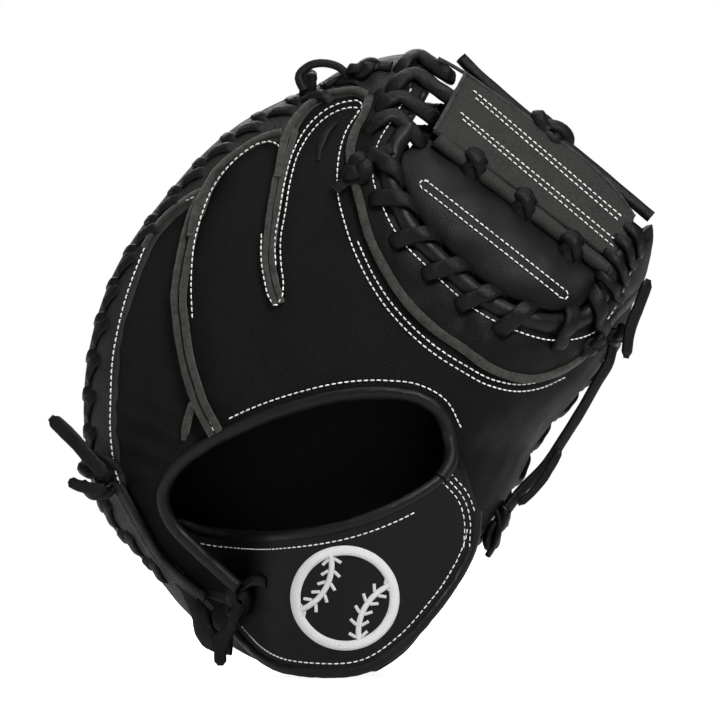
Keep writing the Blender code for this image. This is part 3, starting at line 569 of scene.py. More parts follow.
def mesh_fabric(name, colour, pitch=2.2):
    """Knitted mesh: ribs that cross on the bias, over the cloth's own plan coordinates."""
    g = Graph(name, specular_ior_level=0.07)
    x, y = g.node("ShaderNodeSeparateXYZ", {}, Vector=g.uv).outputs[:2]
    turn = 2 * math.pi / (pitch * MM)
    wobble = g.math("MULTIPLY", g.noise(7.0, 2.0), 2.4)
    first = g.math("ADD", g.math("MULTIPLY", g.math("ADD", x, y), turn), wobble)
    second = g.math("MULTIPLY", g.math("SUBTRACT", x, y), turn * 0.62)
    ribs = g.math("ABSOLUTE", g.math("SINE", first))
    cross = g.math("ABSOLUTE", g.math("SINE", second))
    weave = g.math("MULTIPLY", ribs, g.math("ADD", g.math("MULTIPLY", cross, 0.6), 0.4))
    patches = g.noise(26.0, 3.0)
    # The weave's colour is partly painted light: thread crowns get lit copies of the colour, and the gaps
    # between them, low in the weave's relief, get a painted-shade copy at 0.3 of it
    threads = g.ramp(weave, 0.1, 0.9)
    lit = g.mix(g.ramp(patches, 0.3, 0.7), tint(colour, 2.0), tint(colour, 3.0))
    g.set(base_color=g.mix(threads, tint(colour, 0.3), lit))
    g.set(roughness=g.ramp(patches, 0.3, 0.7, 0.5, 0.68))
    normal = g.bump(g.noise(16.0, 3.0, (1, 1, 0.5)), 0.9)
    g.set(normal=g.bump(weave, 0.42, 1.0, normal))
    return g.material


def suede(name, colour):
    g = Graph(name, roughness=0.92, specular_ior_level=0.2, sheen_weight=0.2, sheen_roughness=0.5)
    nap = g.noise(0.8, 5.0)
    patches = g.noise(3.0, 5.0)
    shade = g.mix(g.ramp(patches, 0.35, 0.68), tint(colour, 0.4), tint(colour, 1.4))
    g.set(base_color=g.mix(g.math("MULTIPLY", nap, 0.4), shade, tint(colour, 1.8)))
    g.set(normal=g.bump(nap, 0.4, 1.0, g.bump(patches, 1.0)))
    return g.material


def rawhide(name, colour):
    """Oiled lace: creased across, paler on its folds."""
    g = Graph(name, specular_ior_level=0.18)
    folds = g.noise(2.6, 5.0)
    patches = g.noise(14.0, 3.0)
    shade = g.mix(g.ramp(patches, 0.3, 0.7), tint(colour, 0.6), tint(colour, 1.5))
    g.set(base_color=g.mix(g.ramp(folds, 0.55, 0.8), shade, tint(colour, 2.2)))
    g.set(roughness=g.ramp(patches, 0.3, 0.7, 0.4, 0.62))
    g.set(normal=g.bump(g.noise(0.8, 3.0), 0.14, 1.0, g.bump(folds, 0.5)))
    return g.material


def thread(name, colour):
    g = Graph(name, roughness=0.55, specular_ior_level=0.4, sheen_weight=0.3)
    twist = g.noise(0.7, 2.0)
    g.set(base_color=g.mix(g.ramp(g.noise(9.0, 2.0), 0.3, 0.7), tint(colour, 0.72), colour))
    g.set(normal=g.bump(twist, 0.12))
    return g.material


def satin_stitch(name, colour):
    """Embroidery: threads laid side by side across the shape, along its own v coordinate."""
    g = Graph(name, roughness=0.38, specular_ior_level=0.5, sheen_weight=0.35, anisotropic=0.5)
    along = g.node("ShaderNodeSeparateXYZ", {}, Vector=g.uv).outputs[0]
    lay = g.math("SINE", g.math("MULTIPLY", along, 2 * math.pi / (0.62 * MM)))
    lay = g.ramp(lay, -1.0, 1.0)
    g.set(base_color=g.mix(lay, tint(colour, 0.62), colour))
    g.set(normal=g.bump(lay, 0.22, 1.0, g.bump(g.noise(3.0, 2.0), 0.3)))
    return g.material


def felt(name, colour):
    g = Graph(name, roughness=0.95, specular_ior_level=0.05)
    g.set(base_color=g.mix(g.noise(4.0, 4.0), tint(colour, 0.6), tint(colour, 1.3)))
    g.set(normal=g.bump(g.noise(1.2, 4.0), 0.5))
    return g.material


def pale_floor():
    """A white floor that glows towards the camera only: it stays pale without lighting the leather."""
    g = Graph("pale_floor", roughness=0.9, base_color=(0.9, 0.9, 0.9, 1.0))
    g.set(emission_color=(1.0, 1.0, 1.0, 1.0))
    seen = g.tree.nodes.new("ShaderNodeLightPath").outputs["Is Camera Ray"]
    g.set(emission_strength=g.math("MULTIPLY", seen, 0.9))
    return g.material


GREY_LEATHER = leather("grey_grain_leather", (0.0175, 0.0178, 0.0168), 1.0, 0.17, 0.55)
BORDER_LEATHER = leather("border_leather", (0.0032, 0.0032, 0.0031), 1.0, 0.12, 0.5, 0.5, 0.12)
SMOOTH_LEATHER = leather("smooth_black_leather", (0.003, 0.003, 0.0031), 0.8, 0.06, 0.46, 0.3, 0.14)
FLAP_LEATHER = leather("pebbled_flap_leather", (0.0185, 0.0186, 0.0172), 1.0, 0.22, 0.58, 0.2)
STRAP_LEATHER = leather("strap_leather", (0.0022, 0.0022, 0.0024), 0.7, 0.07, 0.54, 0.3)
PALM_LEATHER = leather("palm_leather", (0.018, 0.018, 0.0185), 1.2, 0.2, 0.45, 0.7)
ROLLED_LEATHER = leather("rolled_binding_leather", (0.0042, 0.0042, 0.0045), 0.8, 0.06, 0.4, 0.25)
MESH = mesh_fabric("black_mesh", (0.005, 0.0051, 0.0051))
SUEDE = suede("warm_grey_suede", (0.033, 0.032, 0.027))
RAW_EDGE = suede("raw_leather_edge", (0.035, 0.036, 0.032))
LACE = rawhide("black_rawhide", (0.002, 0.002, 0.0021))
THREAD = thread("white_thread", (0.95, 0.95, 0.93))
EMBLEM_THREAD = satin_stitch("satin_stitch_thread", (0.97, 0.97, 0.98))
LINING = felt("dark_lining", (0.0065, 0.0065, 0.0068))


# ---------------------------------------------------------------- the back

CROTCH_LINE = smooth(CROTCH, 260)
OPENING_LINE = smooth(OPENING, 160)
BELOW_OPENING = [(-42, 33), (-46, 20), (-48, -30), (66, -30), (66, 40), (68, 70), (66, 98)]
BEYOND_WEB = [(190, 240), (190, 340), (60, 340)]
STALL_LINES = [smooth(STRIP_A, 40), smooth(STRIP_B, 40)]
BAND_HEIGHT = 1.6


def crotch_index(share):
    """The point of CROTCH_LINE at a share of its length."""
    return int(share * (len(CROTCH_LINE) - 1))


def notch_outline(offset):
    return np.vstack([beside(CROTCH_LINE, offset), BEYOND_WEB])


def window_outline(offset):
    return np.vstack([beside(OPENING_LINE, offset), BELOW_OPENING])


def cloudy(x, y, z, size, seed=0.0):
    """Smooth noise from about -1 to 1 at each of many places, with patches of about size millimetres."""
    shape = np.shape(x)
    places = np.column_stack([np.ravel(v) for v in np.broadcast_arrays(x, y, z)]) / size + seed
    return np.array([noise.noise(Vector(p)) for p in places]).reshape(shape)


def cloud_over(points, size, seed=0.0):
    return cloudy(*np.moveaxis(points, -1, 0), size, seed)


def share_at(theta, r, most=0.999):
    """The t of back_point at a reach from the hand's centre."""
    wrap = np.radians(rim_wrap(theta))
    share = np.clip(r / outline_radius(theta), 0, most)
    return np.arcsin(share * np.sin(np.minimum(wrap, math.pi / 2))) / wrap


def stall_relief(points):
    """How the padded finger stalls swell between the sewn channels, and how the cloth rumples."""
    plan = points[..., [0, 2]].reshape(-1, 2)
    near = np.minimum(distance_to(plan, STALL_LINES[0]), distance_to(plan, STALL_LINES[1]))
    edge = distance_to(plan, smooth(WEB_STRIP, 40))
    hole = distance_to(plan, OPENING_LINE[::4])
    swell = 2.6 * (1 - np.exp(-((near / 11.0) ** 2))) - 1.6
    swell -= 1.2 * np.exp(-((edge / 6.0) ** 2)) + 0.8 * np.exp(-((hole / 9.0) ** 2))
    x, y, z = points.reshape(-1, 3).T
    rumple = 0.9 * cloudy(x, y, z, 30.0) + 0.45 * cloudy(x, y, z, 11.0, 5.0)
    ripple = np.exp(-(((x + 80) / 22) ** 2 + ((z - 112) / 30) ** 2))
    rumple += 0.7 * ripple * np.sin((x * 0.5 + z) * 2 * math.pi / 13.0)
    return (swell + rumple).reshape(points.shape[:-1])


def make_back():
    """The mesh of the back, and the lining inside it."""
    theta = np.linspace(0, 360, 500, endpoint=False)[:, None]
    t = np.linspace(0.05, 1.0, 100)[None, :]
    base = back_point(theta, t)
    relief = stall_relief(base) * np.clip((1 - t) / 0.12, 0, 1)
    outer, _ = raised(back_point, theta, t, relief, -1)
    inner, _ = raised(back_point, theta, t, relief - 2.0, -1)
    middle = quads_from_behind(base)
    keep = ~inside(middle, window_outline(-0.5)) & ~inside(middle, notch_outline(-1.5))
    arc = arc_length(base[100])[None]      # one line from the pole to the rim stands for all of them
    a = np.radians(theta)
    uv = np.stack([arc * np.cos(a), arc * np.sin(a)], -1)
    obj = sheet("back_mesh", outer, inner, MESH, keep, uv, closed=True)
    bent(obj, ["finger_back_shell", "thumb_back_shell"])
    t = np.linspace(0.05, 0.93, 50)[None, :]
    theta = np.linspace(0, 360, 240, endpoint=False)[:, None]
    base = back_point(theta, t)
    rumple = 0.8 * cloud_over(base, 16.0)
    outer, _ = raised(back_point, theta, t, -3.6 + rumple, -1)
    inner, _ = raised(back_point, theta, t, -4.8 + rumple, -1)
    middle = quads_from_behind(base)
    keep = ~inside(middle, window_outline(-2.0)) & ~inside(middle, notch_outline(-6.0))
    obj = sheet("back_lining", outer, inner, LINING, keep, closed=True)
    bent(obj, ["finger_stall_lining", "thumb_stall_lining"])


def band_share(theta):
    """Where the outer leather band's inner edge lies, as the t of back_point."""
    angle, r = polar_of(np.vstack([smooth(stall, 40) for stall in STALL_TOPS]), HAND_CENTRE)
    below = np.array([224.0, 212.0, 202.0])      # the band goes on down the little finger's side
    angle, r = np.concatenate([below, angle]), np.concatenate([outline_radius(below) - 11.0, r])
    order = np.argsort(angle)
    return share_at(theta, np.interp(theta, angle[order], r[order]))


def rim_places(first, last, pitch):
    """Angles at an even pitch along the rim."""
    theta = np.linspace(first, last, 600)
    rim = back_point(theta, 1.0)
    along = arc_length(rim)
    return np.interp(np.linspace(0, along[-1], int(along[-1] / pitch) + 1), along, theta)


FINGER_WRAPS = rim_places(88, 214, 18.0)
THUMB_WRAPS = rim_places(-44, 24, 18.0)


def pucker(theta, places):
    """1 at the lace holes, falling to 0 between them."""
    gap = np.abs(theta[..., None] - places).min(axis=-1)
    return np.exp(-((gap / 2.6) ** 2))


def band(name, first, last, inner_share, places):
    """A leather band along the rim between two angles, drawn in where the perimeter lace passes."""
    theta = np.linspace(first, last, int((last - first) * 3))[:, None]
    v = np.linspace(0, 1, 14)[None, :]
    start = inner_share(theta)
    t = start + (1.0 - start) * v
    base = back_point(theta, t)
    height = BAND_HEIGHT + 1.1 * np.sin(math.pi * v) + 0.5 * cloud_over(base, 9.0, 3.0)
    height = height - 1.0 * pucker(theta, places) * np.exp(-(((v - 0.62) / 0.3) ** 2))
    height -= 0.7 * np.exp(-((v / 0.08) ** 2))
    outer, _ = raised(back_point, theta, t, height, -1)
    under, _ = raised(back_point, theta, t, np.full_like(height, -1.2), -1)
    return sheet(name, outer, under, [GREY_LEATHER, RAW_EDGE])


EDGE_BAND_WIDTH = 13.0


def edge_band_share(theta):
    """The t of back_point at the edge band's width from the rim, measured over the surface."""
    t = np.linspace(0.2, 1.0, 120)
    found = []
    for angle in np.ravel(theta):
        line = back_point(angle, t)
        step = np.linalg.norm(np.diff(line, axis=0), axis=1)
        from_rim = np.concatenate([np.cumsum(step[::-1])[::-1], [0.0]])
        found.append(np.interp(-EDGE_BAND_WIDTH, -from_rim, t))
    return np.reshape(found, np.shape(theta))


BORDER_OUTER = [(47, 297), (34, 294), (26, 286)] + WEB_STRIP + [(158.5, 198), (160, 209)]


def make_border():
    """The leather between the suede strip and the roll of the web opening, pinched where the laces pass."""
    count = 300
    outer_line, inner_line = smooth(BORDER_OUTER, count), respaced(beside(CROTCH_LINE, -2.5), count)
    v = np.linspace(0, 1, 16)
    plan = outer_line[:, None] * (1 - v[None, :, None]) + inner_line[:, None] * v[None, :, None]
    pinch = np.zeros(count)
    for place in ROLL_WRAPS:
        i = np.argmin(np.linalg.norm(inner_line - CROTCH_LINE[crotch_index(place)], axis=1))
        pinch += np.exp(-(((np.arange(count) - i + 5) / 5.0) ** 2))
    height = 1.2 + 1.5 * np.sin(math.pi * v[None]) ** 0.8 * (1 - 0.9 * np.clip(pinch[:, None], 0, 1))
    height = height + 0.5 * cloudy(plan[..., 0], plan[..., 1], 0.0, 8.0, 2.0)
    x, z = plan[..., 0].ravel(), plan[..., 1].ravel()
    outer = back_at(x, z, height.ravel())[0].reshape(count, len(v), 3)
    under = back_at(x, z, -1.2)[0].reshape(count, len(v), 3)
    obj = sheet("web_border", outer, under, [BORDER_LEATHER, RAW_EDGE])
    bent(obj, [])


def spot(x, z, height):
    """One place of the back seen from behind, at a height, and its normal."""
    points, normals = back_at([x], [z], height)
    return points[0], normals[0]


def back_path(points, count, height, offset=0.0):
    """A line over the back, its points seen from behind, moved aside and lifted."""
    line = smooth(points, count)
    if offset:
        line = respaced(beside(line, offset), count)
    return back_at(line[:, 0], line[:, 1], height)


def wandering(bundle, points, count, height, width, thickness, wander, patch, shade, seed, offset=0.0):
    """A strip over the back whose height wanders a little, as cut leather does."""
    path, normals = back_path(points, count, height, offset)
    path = path + normals * (wander * cloudy(path[:, 0], path[:, 2], shade, patch))[:, None]
    strand(bundle, path, normals, width, thickness, sides=10, seed=seed)


def make_strips():
    """Suede strips that cover the channels between the stalls and go round the web's opening."""
    for name, node, points, gap in (
        ("strip_between_ring_stalls", "pinky_channel_strip", STRIP_A, 2.0),
        ("strip_between_middle_stalls", "middle_channel_strip", STRIP_B, 1.6),
    ):
        bundle = Bundle()
        for side in (-gap, gap):
            wandering(bundle, points, 90, 0.9, 1.75 * gap, 3.0, 0.5, 6.0, side, side, side)
        parted(bundle.build(name, SUEDE), nodes=[node])
    bundle = Bundle()
    path, normals = back_path([(-59, 133), (-62, 124), (-64.5, 113)], 30, 1.2)
    strand(bundle, path, normals, 4.0, 2.4, sides=10, taper=0.2)
    parted(bundle.build("strip_beside_hand_opening", SUEDE))
    bundle = Bundle()
    for line in STALL_LIPS:
        wandering(bundle, line, 90, BAND_HEIGHT + 0.9, 3.4, 2.2, 0.45, 6.0, 3.0, line[0][0])
    parted(bundle.build("suede_lips_of_stalls", SUEDE))
    bundle = Bundle()
    path, normals = back_path([(8.5, 265), (3.5, 259.5), (0.5, 253), (-0.5, 246)], 30, 1.4)
    strand(bundle, path, normals, 4.4, 2.2, sides=12, taper=0.5, squareness=0.9)
    parted(bundle.build("index_finger_slot_edge", STRAP_LEATHER))
    bundle = Bundle()
    wandering(bundle, WEB_STRIP, 200, 1.6, 4.2, 3.0, 0.35, 7.0, 0.0, 4.0)
    bent(bundle.build("suede_strip_round_web", SUEDE), ["web_opening_strip"])


# ---------------------------------------------------------------- rolls and laces

def roll_frame(places):
    """Centre, normal, direction and side towards the web of the roll at shares of the opening's length."""
    centre, normals = back_at(CROTCH_LINE[:, 0], CROTCH_LINE[:, 1])
    along, across, up = frames_along(centre, normals)
    i = np.round(np.asarray(places) * (len(CROTCH_LINE) - 1)).astype(int)
    return centre[i], up[i], along[i], -across[i]


def make_rolls():
    bundle = Bundle()
    path, normals = back_at(OPENING_LINE[:, 0], OPENING_LINE[:, 1], -1.0)
    joint, out = strap_point(np.array([0.93, 0.97]), np.array([0.985, 1.03]), -1.0)
    path = smooth(np.vstack([joint, path[6::8], path[-1:]]), 200)
    normals = smooth(np.vstack([out, normals[6::8], normals[-1:]]), 200)
    strand(bundle, path, normals, PIPING, PIPING, sides=16, squareness=0.95)
    parted(bundle.build("hand_opening_rolled_edge", ROLLED_LEATHER), nodes=["hand_opening_piping"])
    bundle = Bundle()
    centre, up, _, _ = roll_frame(np.linspace(0.13, 1, 200))
    strand(bundle, centre, up, ROLL, ROLL, sides=20, squareness=0.95)
    roll = bundle.build("web_opening_roll", ROLLED_LEATHER)
    bent(roll, ["web_opening_roll_finger_side", "web_opening_roll_thumb_side"])


# Where laces pass over the roll, as shares of its length
ROLL_WRAPS = (0.235, 0.31, 0.395, 0.485, 0.575, 0.66, 0.755, 0.83)
TIP_WRAPS = (0.885, 0.925, 0.962, 0.992)


def roll_wrap(bundle, place, seed, width=8.2, thickness=3.4, slant=5.5, hole=12.0):
    """A lace from its hole in the border, over the roll, down behind the web's edge."""
    centre, up, along, web = (v[0] for v in roll_frame([place]))
    back = along[[0, 2]] * slant
    i = crotch_index(place)
    hole_plan = beside(CROTCH_LINE, -hole)[i] - back
    near_plan = beside(CROTCH_LINE, -hole * 0.72)[i] - 0.8 * back
    points = [spot(*hole_plan, -1.5)[0], spot(*near_plan, 4.4)[0]]
    normals = [up, up]
    reach = ROLL / 2 + thickness / 2 + 0.2
    for angle in np.radians([-35, -5, 30, 65, 100, 135]):
        out = math.cos(angle) * up + math.sin(angle) * web
        points.append(centre + reach * out + along * slant * angle / 1.6)
        normals.append(out)
    lace(bundle, points, normals, width, thickness, step=1.0, seed=seed, squareness=0.7)


# Laces from the index finger's tip, seen from behind: on the border, over the roll, at the web's edge
INDEX_TIP_WRAPS = [
    ((37, 287), (47, 295), (61, 289)), ((33, 277), (45, 286), (65, 276)), ((28, 269), (38, 275), (54, 268)),
    ((22, 258), (36, 266), (48, 256)),
]


def index_tip_lace(bundle, on_border, over, on_web, seed):
    start, n0 = spot(*on_border, -1.0)
    rise, _ = spot(on_border[0] + 3, on_border[1] + 2.5, 4.0)
    top, n1 = spot(*over, 4.6)
    end_y = web_y(*on_web) - 7.0
    half = (np.array(over) + np.array(on_web)) / 2 + np.array([0.5, 1.5])
    points = [
        start, rise, top, (half[0], (top[1] + end_y) / 2 - 1.5, half[1]), (on_web[0], end_y, on_web[1]),
        (on_web[0] + 2.5, end_y + 5.0, on_web[1] - 1.5),
    ]
    normals = [n0, n0, n1, (0.3, -1, 0.1), (0.3, -1, 0.1), (0.9, -0.4, 0)]
    lace(bundle, points, normals, 7.8, 4.4, 1.0, seed=seed, squareness=0.8)


def make_web_laces():
    bundle = Bundle()
    for k, places in enumerate(INDEX_TIP_WRAPS):
        index_tip_lace(bundle, *places, seed=k)
    parted(bundle.build("index_tip_laces", LACE), nodes=["index_tip_lace"])
    bundle = Bundle()
    for k, place in enumerate(ROLL_WRAPS):
        roll_wrap(bundle, place, seed=float(k))
    lace_nodes = ["web_lace_finger_side", "web_lace_thumb_side"]
    bent(bundle.build("web_opening_laces", LACE), lace_nodes)
    bundle = Bundle()
    for k, place in enumerate(TIP_WRAPS):
        roll_wrap(bundle, place, seed=10.0 + k, width=5.0, slant=3.5, hole=9.0 - 0.6 * k)
    parted(bundle.build("thumb_tip_laces", LACE), "thumb_side", ["thumb_tip_lace"])


def rim_point(theta, reach, height):
    """A point over the rim: reach below 0 on the back, above 0 on the palm, as a share of each surface."""
    if reach <= 0:
        return [v[()] for v in raised(back_point, theta, 1 + reach, height, -1)]
    bearing = polar_of(back_point(theta, 1.0)[None, [0, 2]], POCKET)[0][0]
    return [v[()] for v in raised(palm_point, bearing, 1 - reach, height, 1)]


# The perimeter lace as turns of: share of the way to the next hole, reach past the rim, height
OVER_RIM = [
    (-0.1, -0.085, -0.5), (0.0, -0.06, 2.9), (0.12, -0.02, 2.2), (0.2, 0.03, 1.6), (0.3, 0.07, 1.6),
    (0.36, 0.09, -1.5),
]
ALONG_RIM = [
    (0.02, -0.125, -0.6), (0.12, -0.11, 2.6), (0.4, -0.085, 3.2), (0.7, -0.065, 2.6), (0.82, -0.055, -0.6),
]


def rim_wrap_lace(bundle, theta, step, seed, lift=1.0):
    """One turn of the perimeter lace: over the edge into the palm, then on to the next hole."""
    for turn, width, thickness, shift in ((OVER_RIM, 5.2, 2.4, 0.0), (ALONG_RIM, 6.2, 2.8, 0.5)):
        places = [rim_point(theta + share * step, reach, height * lift) for share, reach, height in turn]
        points, normals = zip(*places)
        lace(bundle, points, normals, width, thickness, 1.2, seed=seed + shift)


def make_perimeter():
    for name, node, places, body, lift in (
        ("perimeter_lacing_fingers", "perimeter_lace_fingers", FINGER_WRAPS, "mitt", 1.0),
        ("perimeter_lacing_thumb", "perimeter_lace_thumb", THUMB_WRAPS, "thumb_side", 0.7),
    ):
        bundle = Bundle()
        for k, theta in enumerate(places[:-1]):
            rim_wrap_lace(bundle, theta, places[k + 1] - theta, float(k), lift)
        parted(bundle.build(name, LACE), body, [node])
    bundle = Bundle()
    theta = np.linspace(80, 396, 420)
    rim = back_point(theta, 1.0) + [0.0, 1.0, 0.0]
    rim[:, 2] = np.maximum(rim[:, 2], 2.4)
    strand(bundle, rim, raised(back_point, theta, 1.0, 0.0, -1)[1], 5.0, 3.6, sides=10)
    bent(bundle.build("rim_welt", RAW_EDGE))


# ---------------------------------------------------------------- the palm

PALM_LEATHER_T = 3.0
LINING_DEPTH = 13.5
LINING_REACH = 52.0      # the lining ends short of the break, so that the thumb can fold over
PALM_CREASES = (62.0, 118.0, 158.0, 205.0, 318.0)      # bearings round the pocket


def palm_relief(points, bearing, s):
    """Creases that run out of the pocket, and a broken-in rumple."""
    crease = sum(np.exp(-(((np.mod(bearing - at + 180, 360) - 180) / 4.0) ** 2)) for at in PALM_CREASES)
    crease = crease * np.sin(math.pi * np.clip((s - 0.12) / 0.6, 0, 1)) ** 2
    return 0.8 * cloud_over(points, 26.0) + 0.35 * cloud_over(points, 9.0, 4.0) - 2.0 * crease


def on_floor(points):
    """The heel is pressed flat where the mitt stands."""
    points[..., 2] = np.maximum(points[..., 2], 0.4)
    return points


def make_palm():
    """The palm leather with its padded roll, and the lining under it."""
    bearing = np.linspace(0, 360, 400, endpoint=False)[:, None]
    s = np.linspace(0.0005, 1.0, 84)[None, :]
    base = palm_point(bearing, s)
    relief = palm_relief(base, bearing, s) * np.clip((1 - s) / 0.1, 0, 1)
    outer = on_floor(raised(palm_point, bearing, s, relief, 1)[0])
    inner = on_floor(raised(palm_point, bearing, s, relief - PALM_LEATHER_T, 1)[0])
    inner[..., 1] -= 0.05
    middle = quads_from_behind(base)
    keep = ~inside(middle, notch_outline(-4.5))
    obj = sheet("palm_leather", outer, inner, PALM_LEATHER, keep, closed=True)
    bent(obj, [
        "palm_shell_finger_side", "palm_shell_thumb_side", "palm_pad", "thumb_pad", "finger_rim_pad",
        "thumb_rim_pad", "heel_pad",
    ])
    bearing = np.linspace(0, 360, 200, endpoint=False)[:, None]
    s = np.linspace(0.03, 0.6, 40)[None, :]
    base = palm_point(bearing, s)
    rumple = 1.6 * cloud_over(base, 22.0, 9.0)
    outer = on_floor(raised(palm_point, bearing, s, -LINING_DEPTH + rumple, 1)[0])
    inner = on_floor(raised(palm_point, bearing, s, -LINING_DEPTH - 1.5 + rumple, 1)[0])
    middle = quads_from_behind(base)
    keep = ~inside(middle, notch_outline(-10.0)) & (midpoints(outer)[..., 2].ravel() > 1.0)
    keep &= middle[:, 0] < LINING_REACH
    obj = sheet("hand_lining", inner, outer, LINING, keep, closed=True)
    bent(obj, ["palm_lining"])


def palm_edge(places, offset, lift=0.0):
    """Points along the palm's edge round the web, with normals out of the palm."""
    i = np.round(np.asarray(places) * (len(CROTCH_LINE) - 1)).astype(int)
    plan = beside(CROTCH_LINE, offset)[i]
    step = unit(np.gradient(plan, axis=0))
    normals = unit(np.stack([-0.5 * step[:, 1], np.ones(len(i)), 0.5 * step[:, 0]], -1))
    return at_depth(plan, palm_y(plan[:, 0], plan[:, 1])) + normals * lift, normals


def palm_web_lace(bundle, centre, out, hole, seed):
    """A lace from its hole in the palm, over the rolled edge, to the web."""
    inward = unit(centre - hole)
    along = np.cross(inward, out)
    web_point = centre + inward * 13.0
    web_point[1] = web_y(web_point[0], web_point[2]) + 3.0
    points = [
        hole - out * 2.0 - along * 5.0, hole + out * 2.4 - along * 3.6, centre + out * 4.6,
        centre + inward * 4.8 + along * 1.5, (centre + inward * 5.0 + web_point) / 2 + along * 2.5,
        web_point + along * 4.0,
    ]
    lace(bundle, points, [out, out, out, inward, inward + out, out], 6.0, 2.8, 1.2, seed=seed)


PALM_EDGE_IN, PALM_HOLES_IN, PALM_WRAPS = -4.6, -15.0, 15


def make_palm_edge():
    """The rolled edge of the palm round the web, and the laces over it."""
    bundle = Bundle()
    path, normals = palm_edge(np.linspace(0.03, 0.97, 180), PALM_EDGE_IN, -0.5)
    strand(bundle, path, normals, 7.0, 6.4, sides=14, squareness=0.95)
    bent(bundle.build("palm_rolled_edge", ROLLED_LEATHER))
    bundle = Bundle()
    places = np.linspace(0.08, 0.93, PALM_WRAPS)
    centres, outs = palm_edge(places, PALM_EDGE_IN)
    holes, _ = palm_edge(places, PALM_HOLES_IN)
    for k, (centre, out, hole) in enumerate(zip(centres, outs, holes)):
        palm_web_lace(bundle, centre, out, hole, 30.0 + k)
    bent(bundle.build("palm_web_laces", LACE))


def make_stall_wall():
    """The leather between the back's edge and the palm's where the fingers part round the web."""
    count = 220
    centre = roll_frame(np.linspace(0.02, 0.97, count))[0]
    plan = centre[:, [0, 2]]
    far = beside(plan, -4.2)
    v = np.linspace(0, 1, 24)
    y_low, y_high = centre[:, 1], palm_y(far[:, 0], far[:, 1]) - 1.0
    side = plan[:, None] * (1 - v[None, :, None]) + far[:, None] * v[None, :, None]
    y = y_low[:, None] * (1 - v) + y_high[:, None] * v
    swell = 3.0 * np.sin(math.pi * v[None]) + 0.6 * cloudy(side[..., 0], y, side[..., 1], 12.0)
    points = np.stack([side[..., 0], y, side[..., 1]], -1)
    step = unit(np.gradient(plan, axis=0))
    web = np.stack([-step[:, 1], np.zeros(count), step[:, 0]], -1)[:, None]
    outer = points + web * (swell - 1.0)[..., None]
    under = points + web * (swell - 3.2)[..., None]
    obj = sheet("stall_wall_round_web", outer, under, [BORDER_LEATHER, RAW_EDGE])
    bent(obj, ["finger_stall_wall", "thumb_stall_wall"])


# ---------------------------------------------------------------- the web

WEB_NORMAL = np.array([WEB_SLOPE_X, -1.0, WEB_SLOPE_Z]) / math.hypot(1.0, WEB_SLOPE_X, WEB_SLOPE_Z)
FLAP_LOW = np.array([(52.1, 258.0), (140.5, 193.5)])
FLAP_HIGH = np.array([
    (67.4, 286.4), (82, 276.0), (96.2, 265.8), (112.2, 254.0), (128.4, 241.2), (140.8, 228.6), (149, 217.0),
])
FOLD = np.array([(53.5, 254.3), (136.0, 191.3)])
FRONT_TOP = np.array([(69.0, 287.5), (156.5, 214.5)])
HALF_MOON_TOP = np.array([(49.5, 257.5), (136.0, 191.5)])
# Cut edges of the flap and of the panel behind it, and how far each stands off the web's plane
RAW_EDGES = [
    ([(52.1, 258), (60, 272), (67.4, 286.4)], 9.6), ([(54.5, 293.6), (61, 290.2), (67.4, 286.4)], 8.0),
    (FLAP_HIGH, 8.4),
]
WEB_TOP_LACE = [
    [(66, 295), (74, 286.8), (83, 278.9), (97.4, 266.6), (108.3, 259)],
    [(108.3, 259), (119.2, 250.3), (130, 241.4), (144.5, 229.1), (158, 217.8)],
]
WEB_TOP_KNOT = (109.5, 259.0)
FLAP_KNOTS = [
    ("web_knot_fingers", 71.4, 241.7), ("web_knot_middle", 95.0, 222.6), ("web_knot_thumb", 117.7, 202.3),
]
FLAP_ROWS = [
    ((74.6, 280.3), (144.1, 221.0)), ((75.5, 276.7), (142.3, 219.2)),
    ((68.3, 269.4), (140.8, 209.6)), ((69.2, 266.2), (139.9, 206.4)),
]


def web_plate(name, first, last, lift, thickness, materials, crown, power, rumple, rows=110, columns=48):
    """A soft panel of the web between two lines seen from behind, lifted off its plane towards the back."""
    u = np.linspace(0, 1, rows)[:, None]
    v = np.linspace(0, 1, columns)[None, :]
    first, last = respaced(first, rows), respaced(last, rows)
    plan = first[:, None] * (1 - v[..., None]) + last[:, None] * v[..., None]
    x, z = plan[..., 0], plan[..., 1]
    rise = crown * (np.sin(math.pi * u) * np.sin(math.pi * v)) ** power
    rise = rise + rumple * cloudy(x, 0.0, z, 13.0, lift)
    points = np.stack([x, web_y(x, z), z], -1)
    outer = points + WEB_NORMAL * (lift + rise)[..., None]
    under = points + WEB_NORMAL * (lift + 0.6 * rise - thickness)[..., None]
    return sheet(name, outer, under, materials), outer


def over_web(line, lift):
    """A line seen from behind, lifted off the web's plane."""
    return at_depth(line, web_y(line[:, 0], line[:, 1])) + WEB_NORMAL * lift


def along_roll(first, last):
    """The web's edge under the roll, between two shares of its length."""
    return beside(CROTCH_LINE, 4.5)[crotch_index(first):crotch_index(last)]


def make_web_panels():
    """The palm-side panel, the crowned half-moon and the flap. Returns the last two surfaces."""
    front, _ = web_plate(
        "web_front_panel", FRONT_TOP, along_roll(0.215, 0.93), -0.8, 2.6, BORDER_LEATHER, -2.0, 0.8, 0.6,
    )
    bent(front, ["web_front_panel_finger_half", "web_front_panel_thumb_half"])
    panel, panel_surface = web_plate(
        "web_half_moon_panel", HALF_MOON_TOP, along_roll(0.2, 0.9), 4.2, 3.4, SMOOTH_LEATHER, 6.0, 0.7, 0.7,
    )
    bent(panel, ["web_back_panel_finger_half", "web_back_panel_thumb_half"])
    flap, flap_surface = web_plate(
        "web_flap", FLAP_LOW, FLAP_HIGH, 9.0, 2.2, [FLAP_LEATHER, RAW_EDGE], 1.2, 0.6, 0.5, 90, 30,
    )
    bent(flap, ["web_flap_finger_half", "web_flap_thumb_half"])
    return panel_surface, flap_surface


